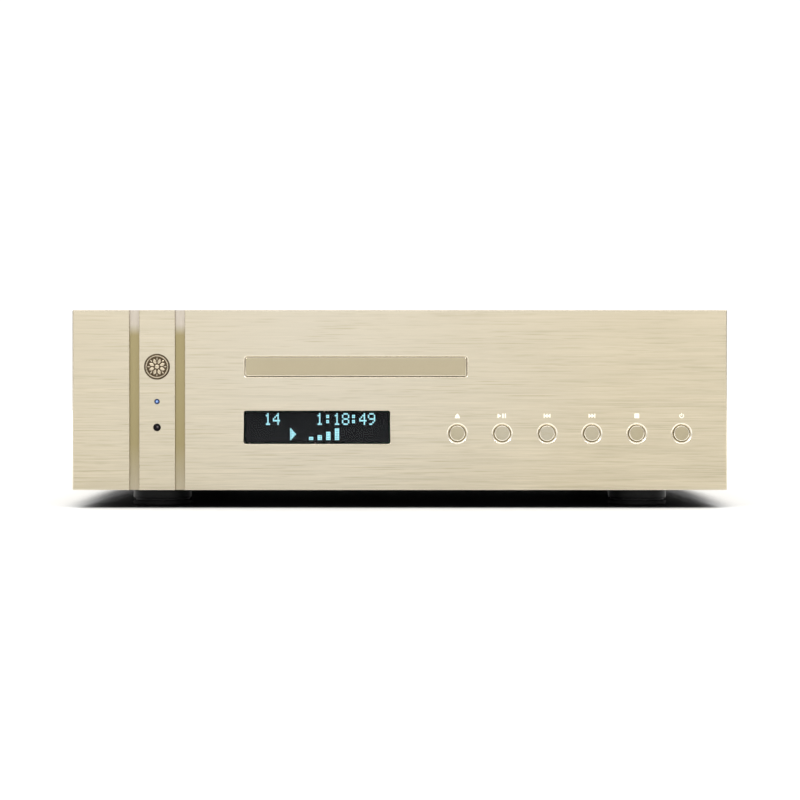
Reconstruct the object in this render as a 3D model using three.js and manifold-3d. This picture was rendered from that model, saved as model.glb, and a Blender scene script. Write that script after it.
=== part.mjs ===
// A compact disc player: a thick front panel with a motor-driven disc tray, a two-line display and
// six round push buttons, on a sheet-metal case that holds the disc transport, its supply and its
// output board.
//
// Millimetres, +Z up. The front faces -Y, and the origin is on the shelf, under the middle of the player.

import * as THREE from 'three';
import { mergeVertices } from 'three/addons/utils/BufferGeometryUtils.js';
import Module from 'manifold-3d';

const wasm = await Module();
wasm.setup();

// ---------------------------------------------------------------- driving dimensions

const WIDTH = 430; // front panel, side to side
const HEIGHT = 130; // shelf to the top edge of the front panel
const DEPTH = 370; // face of the disc door to the ends of the phono jacks
const FOOT_HEIGHT = 11.7;
const PANEL_THICKNESS = 10;
const DOOR_PROUD = 0.8; // the disc door stands this far out of the panel's face
const JACK_PROUD = 9; // the phono jacks stand this far out of the rear panel
const DISC_RADIUS = 60;
const SEAM = 0.1; // gap between pieces that are screwed together
const BOARD_THICKNESS = 1.6; // every circuit board
const TRAY_CENTRE_X = -28.8;
const SPINDLE_DEPTH = 79.2; // spindle axis behind the panel's face
const HAIR = 0.01; // lets a cutting tool run past a face, or two joined bodies share material

const PANEL_HEIGHT = HEIGHT - FOOT_HEIGHT;
const FACE_Y = -DEPTH / 2 + DOOR_PROUD;
const FACE_Z = FOOT_HEIGHT + PANEL_HEIGHT / 2;
const REAR_Y = DEPTH / 2 - JACK_PROUD;

// Places on the front panel, from its middle: [x, z].
const STRIP_X = -159.4;
const UPPER_ROW_Z = 21.85;
const LOWER_ROW_Z = -18;
const BADGE = { at: [STRIP_X, UPPER_ROW_Z], radius: 8.2, proud: 0.6, recess: 1.2 };
const LED = { at: [STRIP_X, -1], radius: 1.5 };
const IR_EYE = { at: [STRIP_X, LOWER_ROW_Z], radius: 2.25 };
const GROOVE = { centres: [-174.4, -144.4], width: 6.4, depth: 3.2 };
const SLOT = { at: [TRAY_CENTRE_X, UPPER_ROW_Z], size: [146.6, 13.1], corner: 1.4 };
const DOOR = { size: [145, 12.1], corner: 1.2, thickness: 6 };
const DISPLAY = { at: [-54.4, LOWER_ROW_Z], size: [96.3, 21.9], corner: 1 };
const BUTTON = { firstX: 37.8, pitch: 29.46, z: -21.9, radius: 5.1, proud: 0.4, travel: 1 };
const BUTTON_HOLE = { radius: 5.5, countersink: 6.8 };
const BUTTON_NAMES = ['eject', 'play_pause', 'previous', 'next', 'stop', 'power'];

// ---------------------------------------------------------------- materials

const paint = (color, roughness, metalness) =>
  new THREE.MeshStandardMaterial({ color, roughness, metalness });

const MATERIAL = {
  brushedGold: paint(0xdcd1ba, 0.4, 0.9),
  satinGold: paint(0xc6b994, 0.45, 0.9),
  caseGold: paint(0xcfc4a6, 0.5, 0.9),
  bronze: paint(0x75664c, 0.35, 0.9),
  rubber: paint(0x181818, 0.8, 0),
  blackPlastic: paint(0x202022, 0.6, 0),
  greyPlastic: paint(0x55585c, 0.6, 0),
  whitePlastic: paint(0xe6e2d4, 0.5, 0),
  darkGlass: paint(0x15161a, 0.1, 0),
  blueLens: paint(0x3554b0, 0.2, 0),
  clearLens: paint(0x9fb4c8, 0.05, 0),
  steel: paint(0xb4b6b8, 0.35, 0.9),
  blackSteel: paint(0x26272a, 0.55, 0.3),
  board: paint(0x1f5b3c, 0.6, 0),
  winding: paint(0xb87333, 0.5, 0.3),
  goldPlate: paint(0xd4a94a, 0.25, 1),
};

// ---------------------------------------------------------------- solids from three.js shapes

function toSolid(geometry) {
  const bare = geometry.index ? geometry.toNonIndexed() : geometry.clone();
  bare.deleteAttribute('normal');
  bare.deleteAttribute('uv');
  const merged = mergeVertices(bare, 1e-4);
  return new wasm.Manifold(
    new wasm.Mesh({
      numProp: 3,
      vertProperties: merged.attributes.position.array,
      triVerts: new Uint32Array(merged.index.array),
    }),
  );
}

function toGeometry(solid) {
  const mesh = solid.getMesh();
  return new THREE.BufferGeometry()
    .setAttribute('position', new THREE.BufferAttribute(mesh.vertProperties, 3))
    .setIndex(new THREE.BufferAttribute(mesh.triVerts, 1));
}

const join = (first, ...others) => others.flat().reduce((sum, s) => sum.add(s), first);
const cut = (body, ...tools) => tools.flat().reduce((rest, s) => rest.subtract(s), body);
const moved = (solid, x, y, z) => solid.translate([x, y, z]);
const ordered = (a, b) => [Math.min(a, b), Math.max(a, b)];

// A box between two limits on each axis.
function span([x0, x1], [y0, y1], [z0, z1]) {
  const box = new THREE.BoxGeometry(x1 - x0, y1 - y0, z1 - z0);
  return toSolid(box.translate((x0 + x1) / 2, (y0 + y1) / 2, (z0 + z1) / 2));
}

// A round bar along Z at [x, y], between two heights.
function barZ([x, y], radius, [z0, z1], sides = 16) {
  const bar = new THREE.CylinderGeometry(radius, radius, z1 - z0, sides).rotateX(Math.PI / 2);
  return toSolid(bar.translate(x, y, (z0 + z1) / 2));
}

// A round bar along Y at [x, z].
function barY([x, z], radius, [y0, y1], sides = 16) {
  const bar = new THREE.CylinderGeometry(radius, radius, y1 - y0, sides);
  return toSolid(bar.translate(x, (y0 + y1) / 2, z));
}

// A round bar along X at [y, z].
function barX([y, z], radius, [x0, x1], sides = 16) {
  const bar = new THREE.CylinderGeometry(radius, radius, x1 - x0, sides).rotateZ(Math.PI / 2);
  return toSolid(bar.translate((x0 + x1) / 2, y, z));
}

// Turned pieces, about Y and about Z: [radius, place along the axis], from the low end to the high end.
function turnedY(profile, sides = 20) {
  return toSolid(new THREE.LatheGeometry(profile.map(([r, y]) => new THREE.Vector2(r, y)), sides));
}

function turnedZ(profile, sides = 20) {
  const points = profile.map(([r, z]) => new THREE.Vector2(r, z));
  return toSolid(new THREE.LatheGeometry(points, sides).rotateX(Math.PI / 2));
}

// A flat outline in XY, as a solid between two heights.
function prismZ(shape, [z0, z1], curveSegments = 3) {
  const solid = new THREE.ExtrudeGeometry(shape, { depth: z1 - z0, bevelEnabled: false, curveSegments });
  return toSolid(solid.translate(0, 0, z0));
}

// A flat outline in XZ, as a solid between two depths.
function prismY(shape, [y0, y1], curveSegments = 3) {
  const solid = new THREE.ExtrudeGeometry(shape, { depth: y1 - y0, bevelEnabled: false, curveSegments });
  return toSolid(solid.rotateX(Math.PI / 2).translate(0, y1, 0));
}

// A flat outline in YZ, as a solid between two places along X.
function prismX(shape, [x0, x1], curveSegments = 4) {
  const solid = new THREE.ExtrudeGeometry(shape, { depth: x1 - x0, bevelEnabled: false, curveSegments });
  const basis = new THREE.Matrix4().makeBasis(
    new THREE.Vector3(0, 1, 0),
    new THREE.Vector3(0, 0, 1),
    new THREE.Vector3(1, 0, 0),
  );
  return toSolid(solid.applyMatrix4(basis).translate(x0, 0, 0));
}

const outline = (points) => new THREE.Shape(points.map(([a, b]) => new THREE.Vector2(a, b)));

// A rounded rectangle about [cx, cy].
function roundedRect([cx, cy], [w, h], r) {
  const [left, right, low, high] = [cx - w / 2, cx + w / 2, cy - h / 2, cy + h / 2];
  const shape = new THREE.Shape();
  shape.absarc(right - r, high - r, r, 0, Math.PI / 2);
  shape.absarc(left + r, high - r, r, Math.PI / 2, Math.PI);
  shape.absarc(left + r, low + r, r, Math.PI, 1.5 * Math.PI);
  shape.absarc(right - r, low + r, r, 1.5 * Math.PI, 2 * Math.PI);
  return shape;
}

// A slot with round ends, whose centre line runs from a to b.
function stadium(a, b, r) {
  const along = Math.atan2(b[1] - a[1], b[0] - a[0]);
  const shape = new THREE.Shape();
  shape.absarc(b[0], b[1], r, along - Math.PI / 2, along + Math.PI / 2);
  shape.absarc(a[0], a[1], r, along + Math.PI / 2, along + 1.5 * Math.PI);
  return shape;
}

function part(name, solid, material, [x, y, z] = [0, 0, 0]) {
  const mesh = new THREE.Mesh(toGeometry(solid), material);
  mesh.name = name;
  mesh.position.set(x, y, z);
  return mesh;
}

function group([x, y, z], ...children) {
  const made = new THREE.Group();
  made.position.set(x, y, z);
  return made.add(...children);
}

// ---------------------------------------------------------------- gears

const PRESSURE_ANGLE = THREE.MathUtils.degToRad(25);
const ADDENDUM = 0.85; // tooth height above the pitch line, in modules
const DEDENDUM = 1.1;
const BACKLASH = 0.16;

const involute = (angle) => Math.tan(angle) - angle;

// An involute gear about the origin, with a tooth centred on the direction toothAngle.
function gearOutline(teeth, module, toothAngle) {
  const pitchRadius = (teeth * module) / 2;
  const baseRadius = pitchRadius * Math.cos(PRESSURE_ANGLE);
  const radii = [pitchRadius - DEDENDUM * module, pitchRadius + ADDENDUM * module];
  const halfAtPitch = Math.PI / (2 * teeth) - BACKLASH / (4 * pitchRadius);
  const halfAngle = (r) =>
    halfAtPitch + involute(PRESSURE_ANGLE) - involute(Math.acos(Math.min(1, baseRadius / r)));
  const points = [];
  for (let i = 0; i < teeth; i++) {
    const middle = toothAngle + (i * 2 * Math.PI) / teeth;
    const rising = radii.map((r) => [r, middle - halfAngle(r)]);
    const falling = radii.map((r) => [r, middle + halfAngle(r)]).reverse();
    for (const [r, a] of [...rising, ...falling]) points.push([r * Math.cos(a), r * Math.sin(a)]);
  }
  return outline(points);
}

// A rack with teeth towards -X (side -1) or +X (side 1) of the pitch line, and a gap centred on y = gapY.
function rackOutline(pitchX, backX, [y0, y1], module, side, gapY) {
  const pitch = Math.PI * module;
  const lean = Math.tan(PRESSURE_ANGLE);
  const tipX = pitchX + side * ADDENDUM * module;
  const rootX = pitchX - side * DEDENDUM * module;
  const halfTip = pitch / 4 - BACKLASH / 4 - ADDENDUM * module * lean;
  const halfRoot = pitch / 4 - BACKLASH / 4 + DEDENDUM * module * lean;
  const points = [[backX, y0], [rootX, y0]];
  const first = Math.ceil((y0 + halfRoot - gapY) / pitch - 0.5);
  for (let i = first; gapY + (i + 0.5) * pitch + halfRoot < y1; i++) {
    const middle = gapY + (i + 0.5) * pitch;
    points.push([rootX, middle - halfRoot], [tipX, middle - halfTip]);
    points.push([tipX, middle + halfTip], [rootX, middle + halfRoot]);
  }
  points.push([rootX, y1], [backX, y1]);
  return outline(side > 0 ? points : points.reverse());
}

// ---------------------------------------------------------------- front panel and its controls
// In this group the origin is the middle of the panel's face, and y runs into the player.

const onFace = ({ at }) => [at[0], 0, at[1]];
const buttonX = (i) => BUTTON.firstX + i * BUTTON.pitch;

function frontPanel() {
  const blank = span([-WIDTH / 2, WIDTH / 2], [0, PANEL_THICKNESS], [-PANEL_HEIGHT / 2, PANEL_HEIGHT / 2]);
  const through = [-1, PANEL_THICKNESS + 1];
  const grooves = GROOVE.centres.map((x) =>
    span([x - GROOVE.width / 2, x + GROOVE.width / 2], [-1, GROOVE.depth], [-HEIGHT / 2, HEIGHT / 2]),
  );
  const flare = BUTTON_HOLE.countersink - BUTTON_HOLE.radius;
  const buttonHole = turnedY([
    [0, -1],
    [BUTTON_HOLE.countersink + 1, -1],
    [BUTTON_HOLE.radius, flare],
    [BUTTON_HOLE.radius, PANEL_THICKNESS + 1],
    [0, PANEL_THICKNESS + 1],
  ], 12);
  return cut(
    blank,
    grooves,
    prismY(roundedRect(SLOT.at, SLOT.size, SLOT.corner), through),
    prismY(roundedRect(DISPLAY.at, DISPLAY.size, DISPLAY.corner), through),
    BUTTON_NAMES.map((_, i) => moved(buttonHole, buttonX(i), 0, BUTTON.z)),
    barY(BADGE.at, BADGE.radius + 0.2, [-1, BADGE.recess], 16),
    barY(LED.at, LED.radius + 0.2, through, 8),
    barY(IR_EYE.at, IR_EYE.radius + 0.2, through, 8),
  );
}

// A cap that fills its hole, a flange that stops it behind the panel, and a stem that reaches its switch.
const BUTTON_INSIDE = { flange: [10.4, 11.9], stem: 2, stemEnd: 15.2 };
function button() {
  const { flange, stem, stemEnd } = BUTTON_INSIDE;
  return turnedY([
    [0, -BUTTON.proud],
    [BUTTON.radius, -BUTTON.proud],
    [BUTTON.radius, flange[0]],
    [BUTTON_HOLE.countersink, flange[0]],
    [BUTTON_HOLE.countersink, flange[1]],
    [stem, flange[1]],
    [stem, stemEnd],
    [0, stemEnd],
  ], 12);
}

// One board for all six buttons: a press switch behind each stem, and spacers that reach the panel.
const BUTTON_BOARD = { x: [22, 202], halfHeight: 11, front: 19.4, switchHalf: 3, plunger: 1.75, spacer: 3 };
function buttonBoard() {
  const { x: ends, halfHeight, front: face, switchHalf, plunger, spacer } = BUTTON_BOARD;
  const plungerTip = BUTTON_INSIDE.stemEnd + BUTTON.travel + 0.2;
  const board = span(ends, [face, face + BOARD_THICKNESS], [BUTTON.z - halfHeight, BUTTON.z + halfHeight]);
  const switches = BUTTON_NAMES.map((_, i) => {
    const x = buttonX(i);
    const body = span(
      [x - switchHalf, x + switchHalf],
      [plungerTip + 0.6, face + HAIR],
      [BUTTON.z - switchHalf, BUTTON.z + switchHalf],
    );
    return join(body, barY([x, BUTTON.z], plunger, [plungerTip, face], 6));
  });
  const spacers = [ends[0] + 4, buttonX(2.5), ends[1] - 4].map((x) =>
    barY([x, BUTTON.z], spacer, [PANEL_THICKNESS + SEAM, face + HAIR], 8),
  );
  return join(board, switches, spacers);
}

function badge() {
  const { radius, proud, recess } = BADGE;
  return turnedY([
    [0, -proud * 0.6],
    [radius - 1.6, -proud * 0.6],
    [radius - 1.2, -proud],
    [radius - 0.4, -proud],
    [radius, 0],
    [radius, recess - SEAM],
    [0, recess - SEAM],
  ], 16);
}

// A moulded lens: a dome that looks out of its hole, and a flange behind the panel.
function lens(radius, flangeEnd) {
  const flange = PANEL_THICKNESS + SEAM;
  return turnedY([
    [0, -0.5],
    [radius * 0.7, -0.2],
    [radius, 0.3],
    [radius, flange],
    [radius + 0.9, flange],
    [radius + 0.9, flangeEnd],
    [0, flangeEnd],
  ], 8);
}

// The board behind the light and the remote eye, with the eye's receiver on it.
const INDICATOR = { face: 16, receiverFace: 12.4, halfWidth: 9, z: [-28, 10], spacers: [-25.5, 7] };
function indicatorBoard() {
  const { face, receiverFace, halfWidth, z, spacers } = INDICATOR;
  const board = span([STRIP_X - halfWidth, STRIP_X + halfWidth], [face, face + BOARD_THICKNESS], z);
  const receiver = span(
    [STRIP_X - 4, STRIP_X + 4],
    [receiverFace, face + HAIR],
    [LOWER_ROW_Z - 4, LOWER_ROW_Z + 4],
  );
  const posts = spacers.map((at) => barY([STRIP_X, at], 2, [PANEL_THICKNESS + SEAM, face + HAIR], 8));
  return join(board, receiver, posts);
}

// The window fills its opening a little below the face, with a flange behind the panel.
const WINDOW = { recess: 0.5, clearance: 0.4, flangeRim: 7, flangeBack: 2 };
function displayWindow() {
  const [w, h] = DISPLAY.size;
  const { recess, clearance, flangeRim, flangeBack } = WINDOW;
  const boss = prismY(
    roundedRect(DISPLAY.at, [w - clearance, h - clearance], DISPLAY.corner),
    [recess, PANEL_THICKNESS + 1],
  );
  const flange = prismY(
    roundedRect(DISPLAY.at, [w + flangeRim, h + flangeRim], 2),
    [PANEL_THICKNESS + SEAM, PANEL_THICKNESS + flangeBack],
  );
  return join(boss, flange);
}

// A flat glass tube on its driver board, held to the panel by two posts below it.
const MODULE = { tubeHalf: [52, 12.4], tube: [12.8, 22], boardHalf: 56, boardLow: 20, postX: 54, postZ: -18 };
function displayModule() {
  const [x, z] = DISPLAY.at;
  const { tubeHalf, tube, boardHalf, boardLow, postX, postZ } = MODULE;
  const [halfWidth, halfHeight] = tubeHalf;
  const glass = span([x - halfWidth, x + halfWidth], tube, [z - halfHeight, z + halfHeight]);
  const board = span(
    [x - boardHalf, x + boardHalf],
    [tube[1] - HAIR, tube[1] + BOARD_THICKNESS],
    [z - boardLow, z + halfHeight],
  );
  const posts = [-postX, postX].map((dx) =>
    barY([x + dx, z + postZ], 2, [PANEL_THICKNESS + SEAM, tube[1]], 8),
  );
  return join(glass, board, posts);
}

const front = group(
  [0, FACE_Y, FACE_Z],
  part('front_panel', frontPanel(), MATERIAL.brushedGold),
  part('badge', badge(), MATERIAL.bronze, onFace(BADGE)),
  part('led_lens', lens(LED.radius, INDICATOR.face - SEAM), MATERIAL.blueLens, onFace(LED)),
  part('ir_lens', lens(IR_EYE.radius, INDICATOR.receiverFace - 0.2), MATERIAL.darkGlass, onFace(IR_EYE)),
  part('indicator_board', indicatorBoard(), MATERIAL.board),
  part('display_window', displayWindow(), MATERIAL.darkGlass),
  part('display_module', displayModule(), MATERIAL.board),
  part('button_board', buttonBoard(), MATERIAL.board),
  ...BUTTON_NAMES.map((name, i) =>
    part(`button_${name}`, button(), MATERIAL.satinGold, [buttonX(i), 0, BUTTON.z]),
  ),
);

// ---------------------------------------------------------------- case

const CASE = {
  halfWidth: WIDTH / 2 - 2, // the front panel overhangs the case by 2 on each side
  front: FACE_Y + PANEL_THICKNESS + SEAM,
  bottom: FOOT_HEIGHT + 0.8,
  top: HEIGHT - 0.8,
  side: 3,
  base: 2,
  cover: 3,
  rear: 2,
};
const SIDE_INNER = CASE.halfWidth - CASE.side;
const BASE_TOP = CASE.bottom + CASE.base;
const COVER_BOTTOM = CASE.top - CASE.cover;
const REAR_INNER = REAR_Y - CASE.rear;
const FOOT = { x: 161, y: 139, radius: 19.6, ring: 3.6, groove: 1.2, grooveDepth: 1.5 };

// Rows of long vent slots, in a plate that lies between z0 and z1.
function vents({ from, to, y, count, pitch, width }, [z0, z1]) {
  return Array.from({ length: count }, (_, i) =>
    span([from, to], [y + i * pitch - width / 2, y + i * pitch + width / 2], [z0 - 1, z1 + 1]),
  );
}

const COVER_VENTS = [
  { from: 66, to: 190, y: -30, count: 8, pitch: 14, width: 5 },
  { from: -190, to: -66, y: 54, count: 6, pitch: 14, width: 5 },
];
const BASE_VENTS = [
  { from: 80, to: 180, y: 0, count: 5, pitch: 18, width: 6 },
  { from: -190, to: -90, y: 60, count: 3, pitch: 18, width: 6 },
];

function basePan() {
  const x = SIDE_INNER - SEAM;
  const plate = span([-x, x], [CASE.front, REAR_Y], [CASE.bottom, BASE_TOP]);
  const lips = [-1, 1].map((s) =>
    span(ordered(s * x, s * (x - 2)), [CASE.front, REAR_INNER - SEAM], [CASE.bottom, 26]),
  );
  return cut(join(plate, lips), BASE_VENTS.flatMap((v) => vents(v, [CASE.bottom, BASE_TOP])));
}

function sidePanel(side) {
  const xs = ordered(side * SIDE_INNER, side * CASE.halfWidth);
  return span(xs, [CASE.front, REAR_Y], [CASE.bottom, COVER_BOTTOM - SEAM]);
}

// The cover's turned-down edges fit just inside the side panels.
function topCover() {
  const plate = span([-CASE.halfWidth, CASE.halfWidth], [CASE.front, REAR_Y], [COVER_BOTTOM, CASE.top]);
  const edges = [-1, 1].map((s) =>
    span(
      ordered(s * (SIDE_INNER - 0.5), s * (SIDE_INNER - 2.5)),
      [CASE.front + 6, REAR_INNER - 6],
      [COVER_BOTTOM - 9, COVER_BOTTOM + HAIR],
    ),
  );
  return cut(join(plate, edges), COVER_VENTS.flatMap((v) => vents(v, [COVER_BOTTOM, CASE.top])));
}

// Two stacked rings with a groove between them.
function foot() {
  const top = CASE.bottom - SEAM;
  const { radius, ring, groove, grooveDepth } = FOOT;
  return turnedZ([
    [0, 0],
    [radius, 0],
    [radius, ring],
    [radius - grooveDepth, ring],
    [radius - grooveDepth, ring + groove],
    [radius, ring + groove],
    [radius, top],
    [0, top],
  ], 16);
}

const enclosure = group(
  [0, 0, 0],
  part('base_pan', basePan(), MATERIAL.blackSteel),
  part('side_panel_left', sidePanel(-1), MATERIAL.caseGold),
  part('side_panel_right', sidePanel(1), MATERIAL.caseGold),
  part('top_cover', topCover(), MATERIAL.caseGold),
  part('foot_front_left', foot(), MATERIAL.rubber, [-FOOT.x, -FOOT.y, 0]),
  part('foot_front_right', foot(), MATERIAL.rubber, [FOOT.x, -FOOT.y, 0]),
  part('foot_rear_left', foot(), MATERIAL.rubber, [-FOOT.x, FOOT.y, 0]),
  part('foot_rear_right', foot(), MATERIAL.rubber, [FOOT.x, FOOT.y, 0]),
);

// ---------------------------------------------------------------- disc transport
// In this group the origin is the spindle axis, at shelf height. x runs to the right and y to the rear.

const PANEL_BACK = PANEL_THICKNESS - SPINDLE_DEPTH;
const DISC_Z = FACE_Z + UPPER_ROW_Z; // middle of the slot in the panel
const TRAY = {
  half: 69, // half its width
  front: DOOR.thickness - DOOR_PROUD - SPINDLE_DEPTH + SEAM,
  rear: 118,
  skirt: 9, // width of the runner under each edge
  bottom: 87,
  plate: 90.4, // underside between the runners
  rim: 97,
  well: 94.6, // floor a 120 mm disc rests on
  innerWell: 93.4, // floor an 80 mm disc rests on
  window: { half: 27, front: -18, corner: 12 },
};
const FRAME = {
  inner: 69.6,
  outer: 73.2,
  front: PANEL_BACK + 0.4,
  lowerFront: -54.8, // the display sits in front of the frame's lower half
  rear: 122,
  floor: [58, 61],
  shoulder: 76,
  top: 99.4,
};
const HINGE = { y: 88, z: 80, pin: 2 };
const CAM = { y: [-29.6, -26.9], travel: 24, drop: 12.15, pinX: [-34, -6], pinZ: 80, pin: 1.5 };
const SLED_TRAVEL = 34;

// Loading gears. The drive gear's upper wheel meshes with the rack under the tray, and its lower
// wheel with the pulley gear, which a belt turns from the motor.
const LOADING = {
  rackModule: 1.5,
  rackTeeth: 16,
  module: 1.25,
  wheelTeeth: 24,
  pinionTeeth: 10,
  drive: [46, -36],
  pulleyDirection: THREE.MathUtils.degToRad(205),
  motor: [-30, -42],
  beltZ: [69.2, 70.8],
  pulleyGroove: 11.8,
  motorGroove: 2.4,
};
const rackPitchX = LOADING.drive[0] + (LOADING.rackTeeth * LOADING.rackModule) / 2;
const pulleyReach = ((LOADING.wheelTeeth + LOADING.pinionTeeth) * LOADING.module) / 2;
const PULLEY_AT = [
  LOADING.drive[0] + pulleyReach * Math.cos(LOADING.pulleyDirection),
  LOADING.drive[1] + pulleyReach * Math.sin(LOADING.pulleyDirection),
];

function discTray() {
  const { half, front: trayFront, rear, skirt, bottom, plate, rim, well, innerWell, window } = TRAY;
  const slab = span([-half, half], [trayFront, rear], [plate, rim]);
  const runner = (x0, x1) => span([x0, x1], [trayFront + 4, rear], [bottom, plate + HAIR]);
  const gearY = LOADING.drive[1];
  const rack = prismZ(
    rackOutline(rackPitchX, half - skirt + 1, [gearY - 12, rear], LOADING.rackModule, -1, gearY),
    [bottom, plate + HAIR],
  );
  const windowLength = rear + 10 - window.front;
  const opening = prismZ(
    roundedRect(
      [0, window.front + windowLength / 2],
      [2 * window.half, windowLength],
      window.corner,
    ),
    [bottom - 1, rim + 1],
  );
  const fingerNotches = [-1, 1].map((s) => barZ([s * 64, 0], 13, [92.6, rim + 1]));
  return cut(
    join(slab, runner(-half, skirt - half), runner(half - skirt, half), rack),
    barZ([0, 0], DISC_RADIUS + 0.8, [well, rim + 1], 40),
    barZ([0, 0], 40.6, [innerWell, rim + 1], 32),
    opening,
    fingerNotches,
  );
}

// The door closes the slot in the panel. It is screwed to the front of the tray.
function trayDoor() {
  const [w, h] = DOOR.size;
  const face = -DOOR_PROUD - SPINDLE_DEPTH;
  return prismY(roundedRect([0, DISC_Z], [w, h], DOOR.corner), [face, face + DOOR.thickness]);
}

// An open tub: two walls that guide the tray, a floor round the deck's opening, and posts for the gears.
function loaderFrame() {
  const { inner, outer, front: frameFront, lowerFront, rear, floor, shoulder, top } = FRAME;
  const [floorLow, floorHigh] = floor;
  const mirrored = (make) => [make(1), make(-1)];
  const throughFloor = [floorLow - 1, floorHigh + 1];
  const wall = (s) =>
    prismX(
      outline([
        [lowerFront, floorLow],
        [rear, floorLow],
        [rear, top],
        [frameFront, top],
        [frameFront, shoulder],
        [lowerFront, shoulder],
      ]),
      ordered(s * inner, s * outer),
    );
  const ledgeZ = [83.8, TRAY.bottom - 0.4];
  const ledge = (s) => span(ordered(s * 63.4, s * (inner + HAIR)), [frameFront, rear], ledgeZ);
  const lip = (s) => span(ordered(s * 66.5, s * (inner + HAIR)), [frameFront, -20], [TRAY.rim + 0.4, top]);
  const plate = span([-inner - HAIR, inner + HAIR], [lowerFront, rear], floor);
  const deckOpening = span([-48, 52], [-24, 98], throughFloor);
  const crossWalls = [
    span([-inner - HAIR, inner + HAIR], [lowerFront, lowerFront + 2.4], [floorLow, 66]),
    span([-inner - HAIR, inner + HAIR], [rear - 3, rear], [floorLow, 84]),
  ];
  const hingeBoss = (x0) =>
    cut(
      span([x0, x0 + 8], [HINGE.y - 5, HINGE.y + 5], [floorHigh - HAIR, 84]),
      barX([HINGE.y, HINGE.z], HINGE.pin + 0.3, [x0 - 1, x0 + 9]),
    );
  const camGuides = [
    span([-65, 24], [CAM.y[0] - 1.9, CAM.y[0] - 0.5], [floorHigh - HAIR, 64]),
    span([-65, 24], [CAM.y[1] + 0.5, CAM.y[1] + 1.9], [floorHigh - HAIR, 64]),
  ];
  const posts = [
    barZ(LOADING.drive, 2, [floorHigh - HAIR, 90.1], 8),
    barZ(LOADING.drive, 4.5, [floorHigh - HAIR, 65], 8),
    barZ(PULLEY_AT, 1.6, [floorHigh - HAIR, 83], 8),
    barZ(PULLEY_AT, 4, [floorHigh - HAIR, 66.5], 8),
  ];
  return cut(
    join(
      cut(plate, deckOpening),
      mirrored(wall),
      mirrored(ledge),
      mirrored(lip),
      crossWalls,
      hingeBoss(-56),
      hingeBoss(52),
      camGuides,
      posts,
    ),
    barZ(LOADING.motor, 4, throughFloor, 8),
  );
}

// The clamp: a spool that hangs in a bridge over the tray, and holds the disc down on the turntable.
const BRIDGE = { y: 16, z: [99.5, 101.3], hole: 10.5 };
function clampBridge() {
  const strap = span([-FRAME.outer, FRAME.outer], [-BRIDGE.y, BRIDGE.y], BRIDGE.z);
  const ribs = [-1, 1].map((s) =>
    span([-64, 64], ordered(s * BRIDGE.y, s * (BRIDGE.y - 1.8)), [BRIDGE.z[0], 105]),
  );
  return cut(join(strap, ribs), barZ([0, 0], BRIDGE.hole, [BRIDGE.z[0] - 1, BRIDGE.z[1] + 1], 16));
}

function clamper() {
  const [low, high] = BRIDGE.z;
  return turnedZ([
    [0, low - 0.6],
    [8.2, low - 0.6],
    [8.2, TRAY.rim + 0.3],
    [15, TRAY.rim + 0.3],
    [15, low - 0.4],
    [9.5, low - 0.4],
    [9.5, high + 0.5],
    [13.5, high + 0.5],
    [13.5, high + 2],
    [0, high + 2],
  ], 16);
}

function loadingMotor() {
  const top = FRAME.floor[0] - SEAM;
  const can = barZ(LOADING.motor, 10, [top - 20, top], 12);
  const bearing = barZ(LOADING.motor, 3.4, [top - HAIR, FRAME.floor[1]], 8);
  return cut(join(can, bearing), barZ(LOADING.motor, 1.3, [top - 12, FRAME.floor[1] + 1], 8));
}

// A flat pulley with a rim at each end.
function pulley(rim, groove, [z0, z1], sides) {
  const rimWidth = 1;
  return turnedZ([
    [0, z0],
    [rim, z0],
    [rim, z0 + rimWidth],
    [groove, z0 + rimWidth],
    [groove, z1 - rimWidth],
    [rim, z1 - rimWidth],
    [rim, z1],
    [0, z1],
  ], sides);
}

const PULLEY_Z = [LOADING.beltZ[0] - 1.2, LOADING.beltZ[1] + 1.2];

function motorPulley() {
  const shaft = barZ([0, 0], 1, [FRAME.floor[0] - 10, PULLEY_Z[1] + 1], 8);
  return join(pulley(3.4, LOADING.motorGroove, PULLEY_Z, 10), shaft);
}

function pulleyGear() {
  const towardsDrive = LOADING.pulleyDirection + Math.PI;
  const gapTurn = Math.PI / LOADING.pinionTeeth;
  const pinion = prismZ(
    gearOutline(LOADING.pinionTeeth, LOADING.module, towardsDrive + gapTurn),
    [PULLEY_Z[1] - HAIR, 79],
  );
  return cut(
    join(pulley(13, LOADING.pulleyGroove, PULLEY_Z, 16), pinion),
    barZ([0, 0], 1.95, [60, 90], 8),
  );
}

function driveGear() {
  const wheel = prismZ(gearOutline(LOADING.wheelTeeth, LOADING.module, LOADING.pulleyDirection), [75, 78.6]);
  const upper = prismZ(gearOutline(LOADING.rackTeeth, LOADING.rackModule, 0), [TRAY.bottom - 0.2, 90]);
  const hub = barZ([0, 0], 5.5, [65.3, 89.9], 12);
  return cut(join(wheel, upper, hub), barZ([0, 0], 2.35, [60, 92], 8));
}

// A belt is the band between two loops, each made of two arcs and the straight runs between them.
function beltLoop(offset) {
  const [ax, ay] = PULLEY_AT;
  const [bx, by] = LOADING.motor;
  const ra = LOADING.pulleyGroove + 0.1 + offset;
  const rb = LOADING.motorGroove + 0.1 + offset;
  const along = Math.atan2(by - ay, bx - ax);
  const lean = Math.acos((ra - rb) / Math.hypot(bx - ax, by - ay));
  const arc = (x, y, r, from, to, steps) =>
    Array.from({ length: steps + 1 }, (_, i) => {
      const a = from + ((to - from) * i) / steps;
      return new THREE.Vector2(x + r * Math.cos(a), y + r * Math.sin(a));
    });
  return [
    ...arc(ax, ay, ra, along + lean, along + 2 * Math.PI - lean, 14),
    ...arc(bx, by, rb, along - lean, along + lean, 6),
  ];
}

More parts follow.
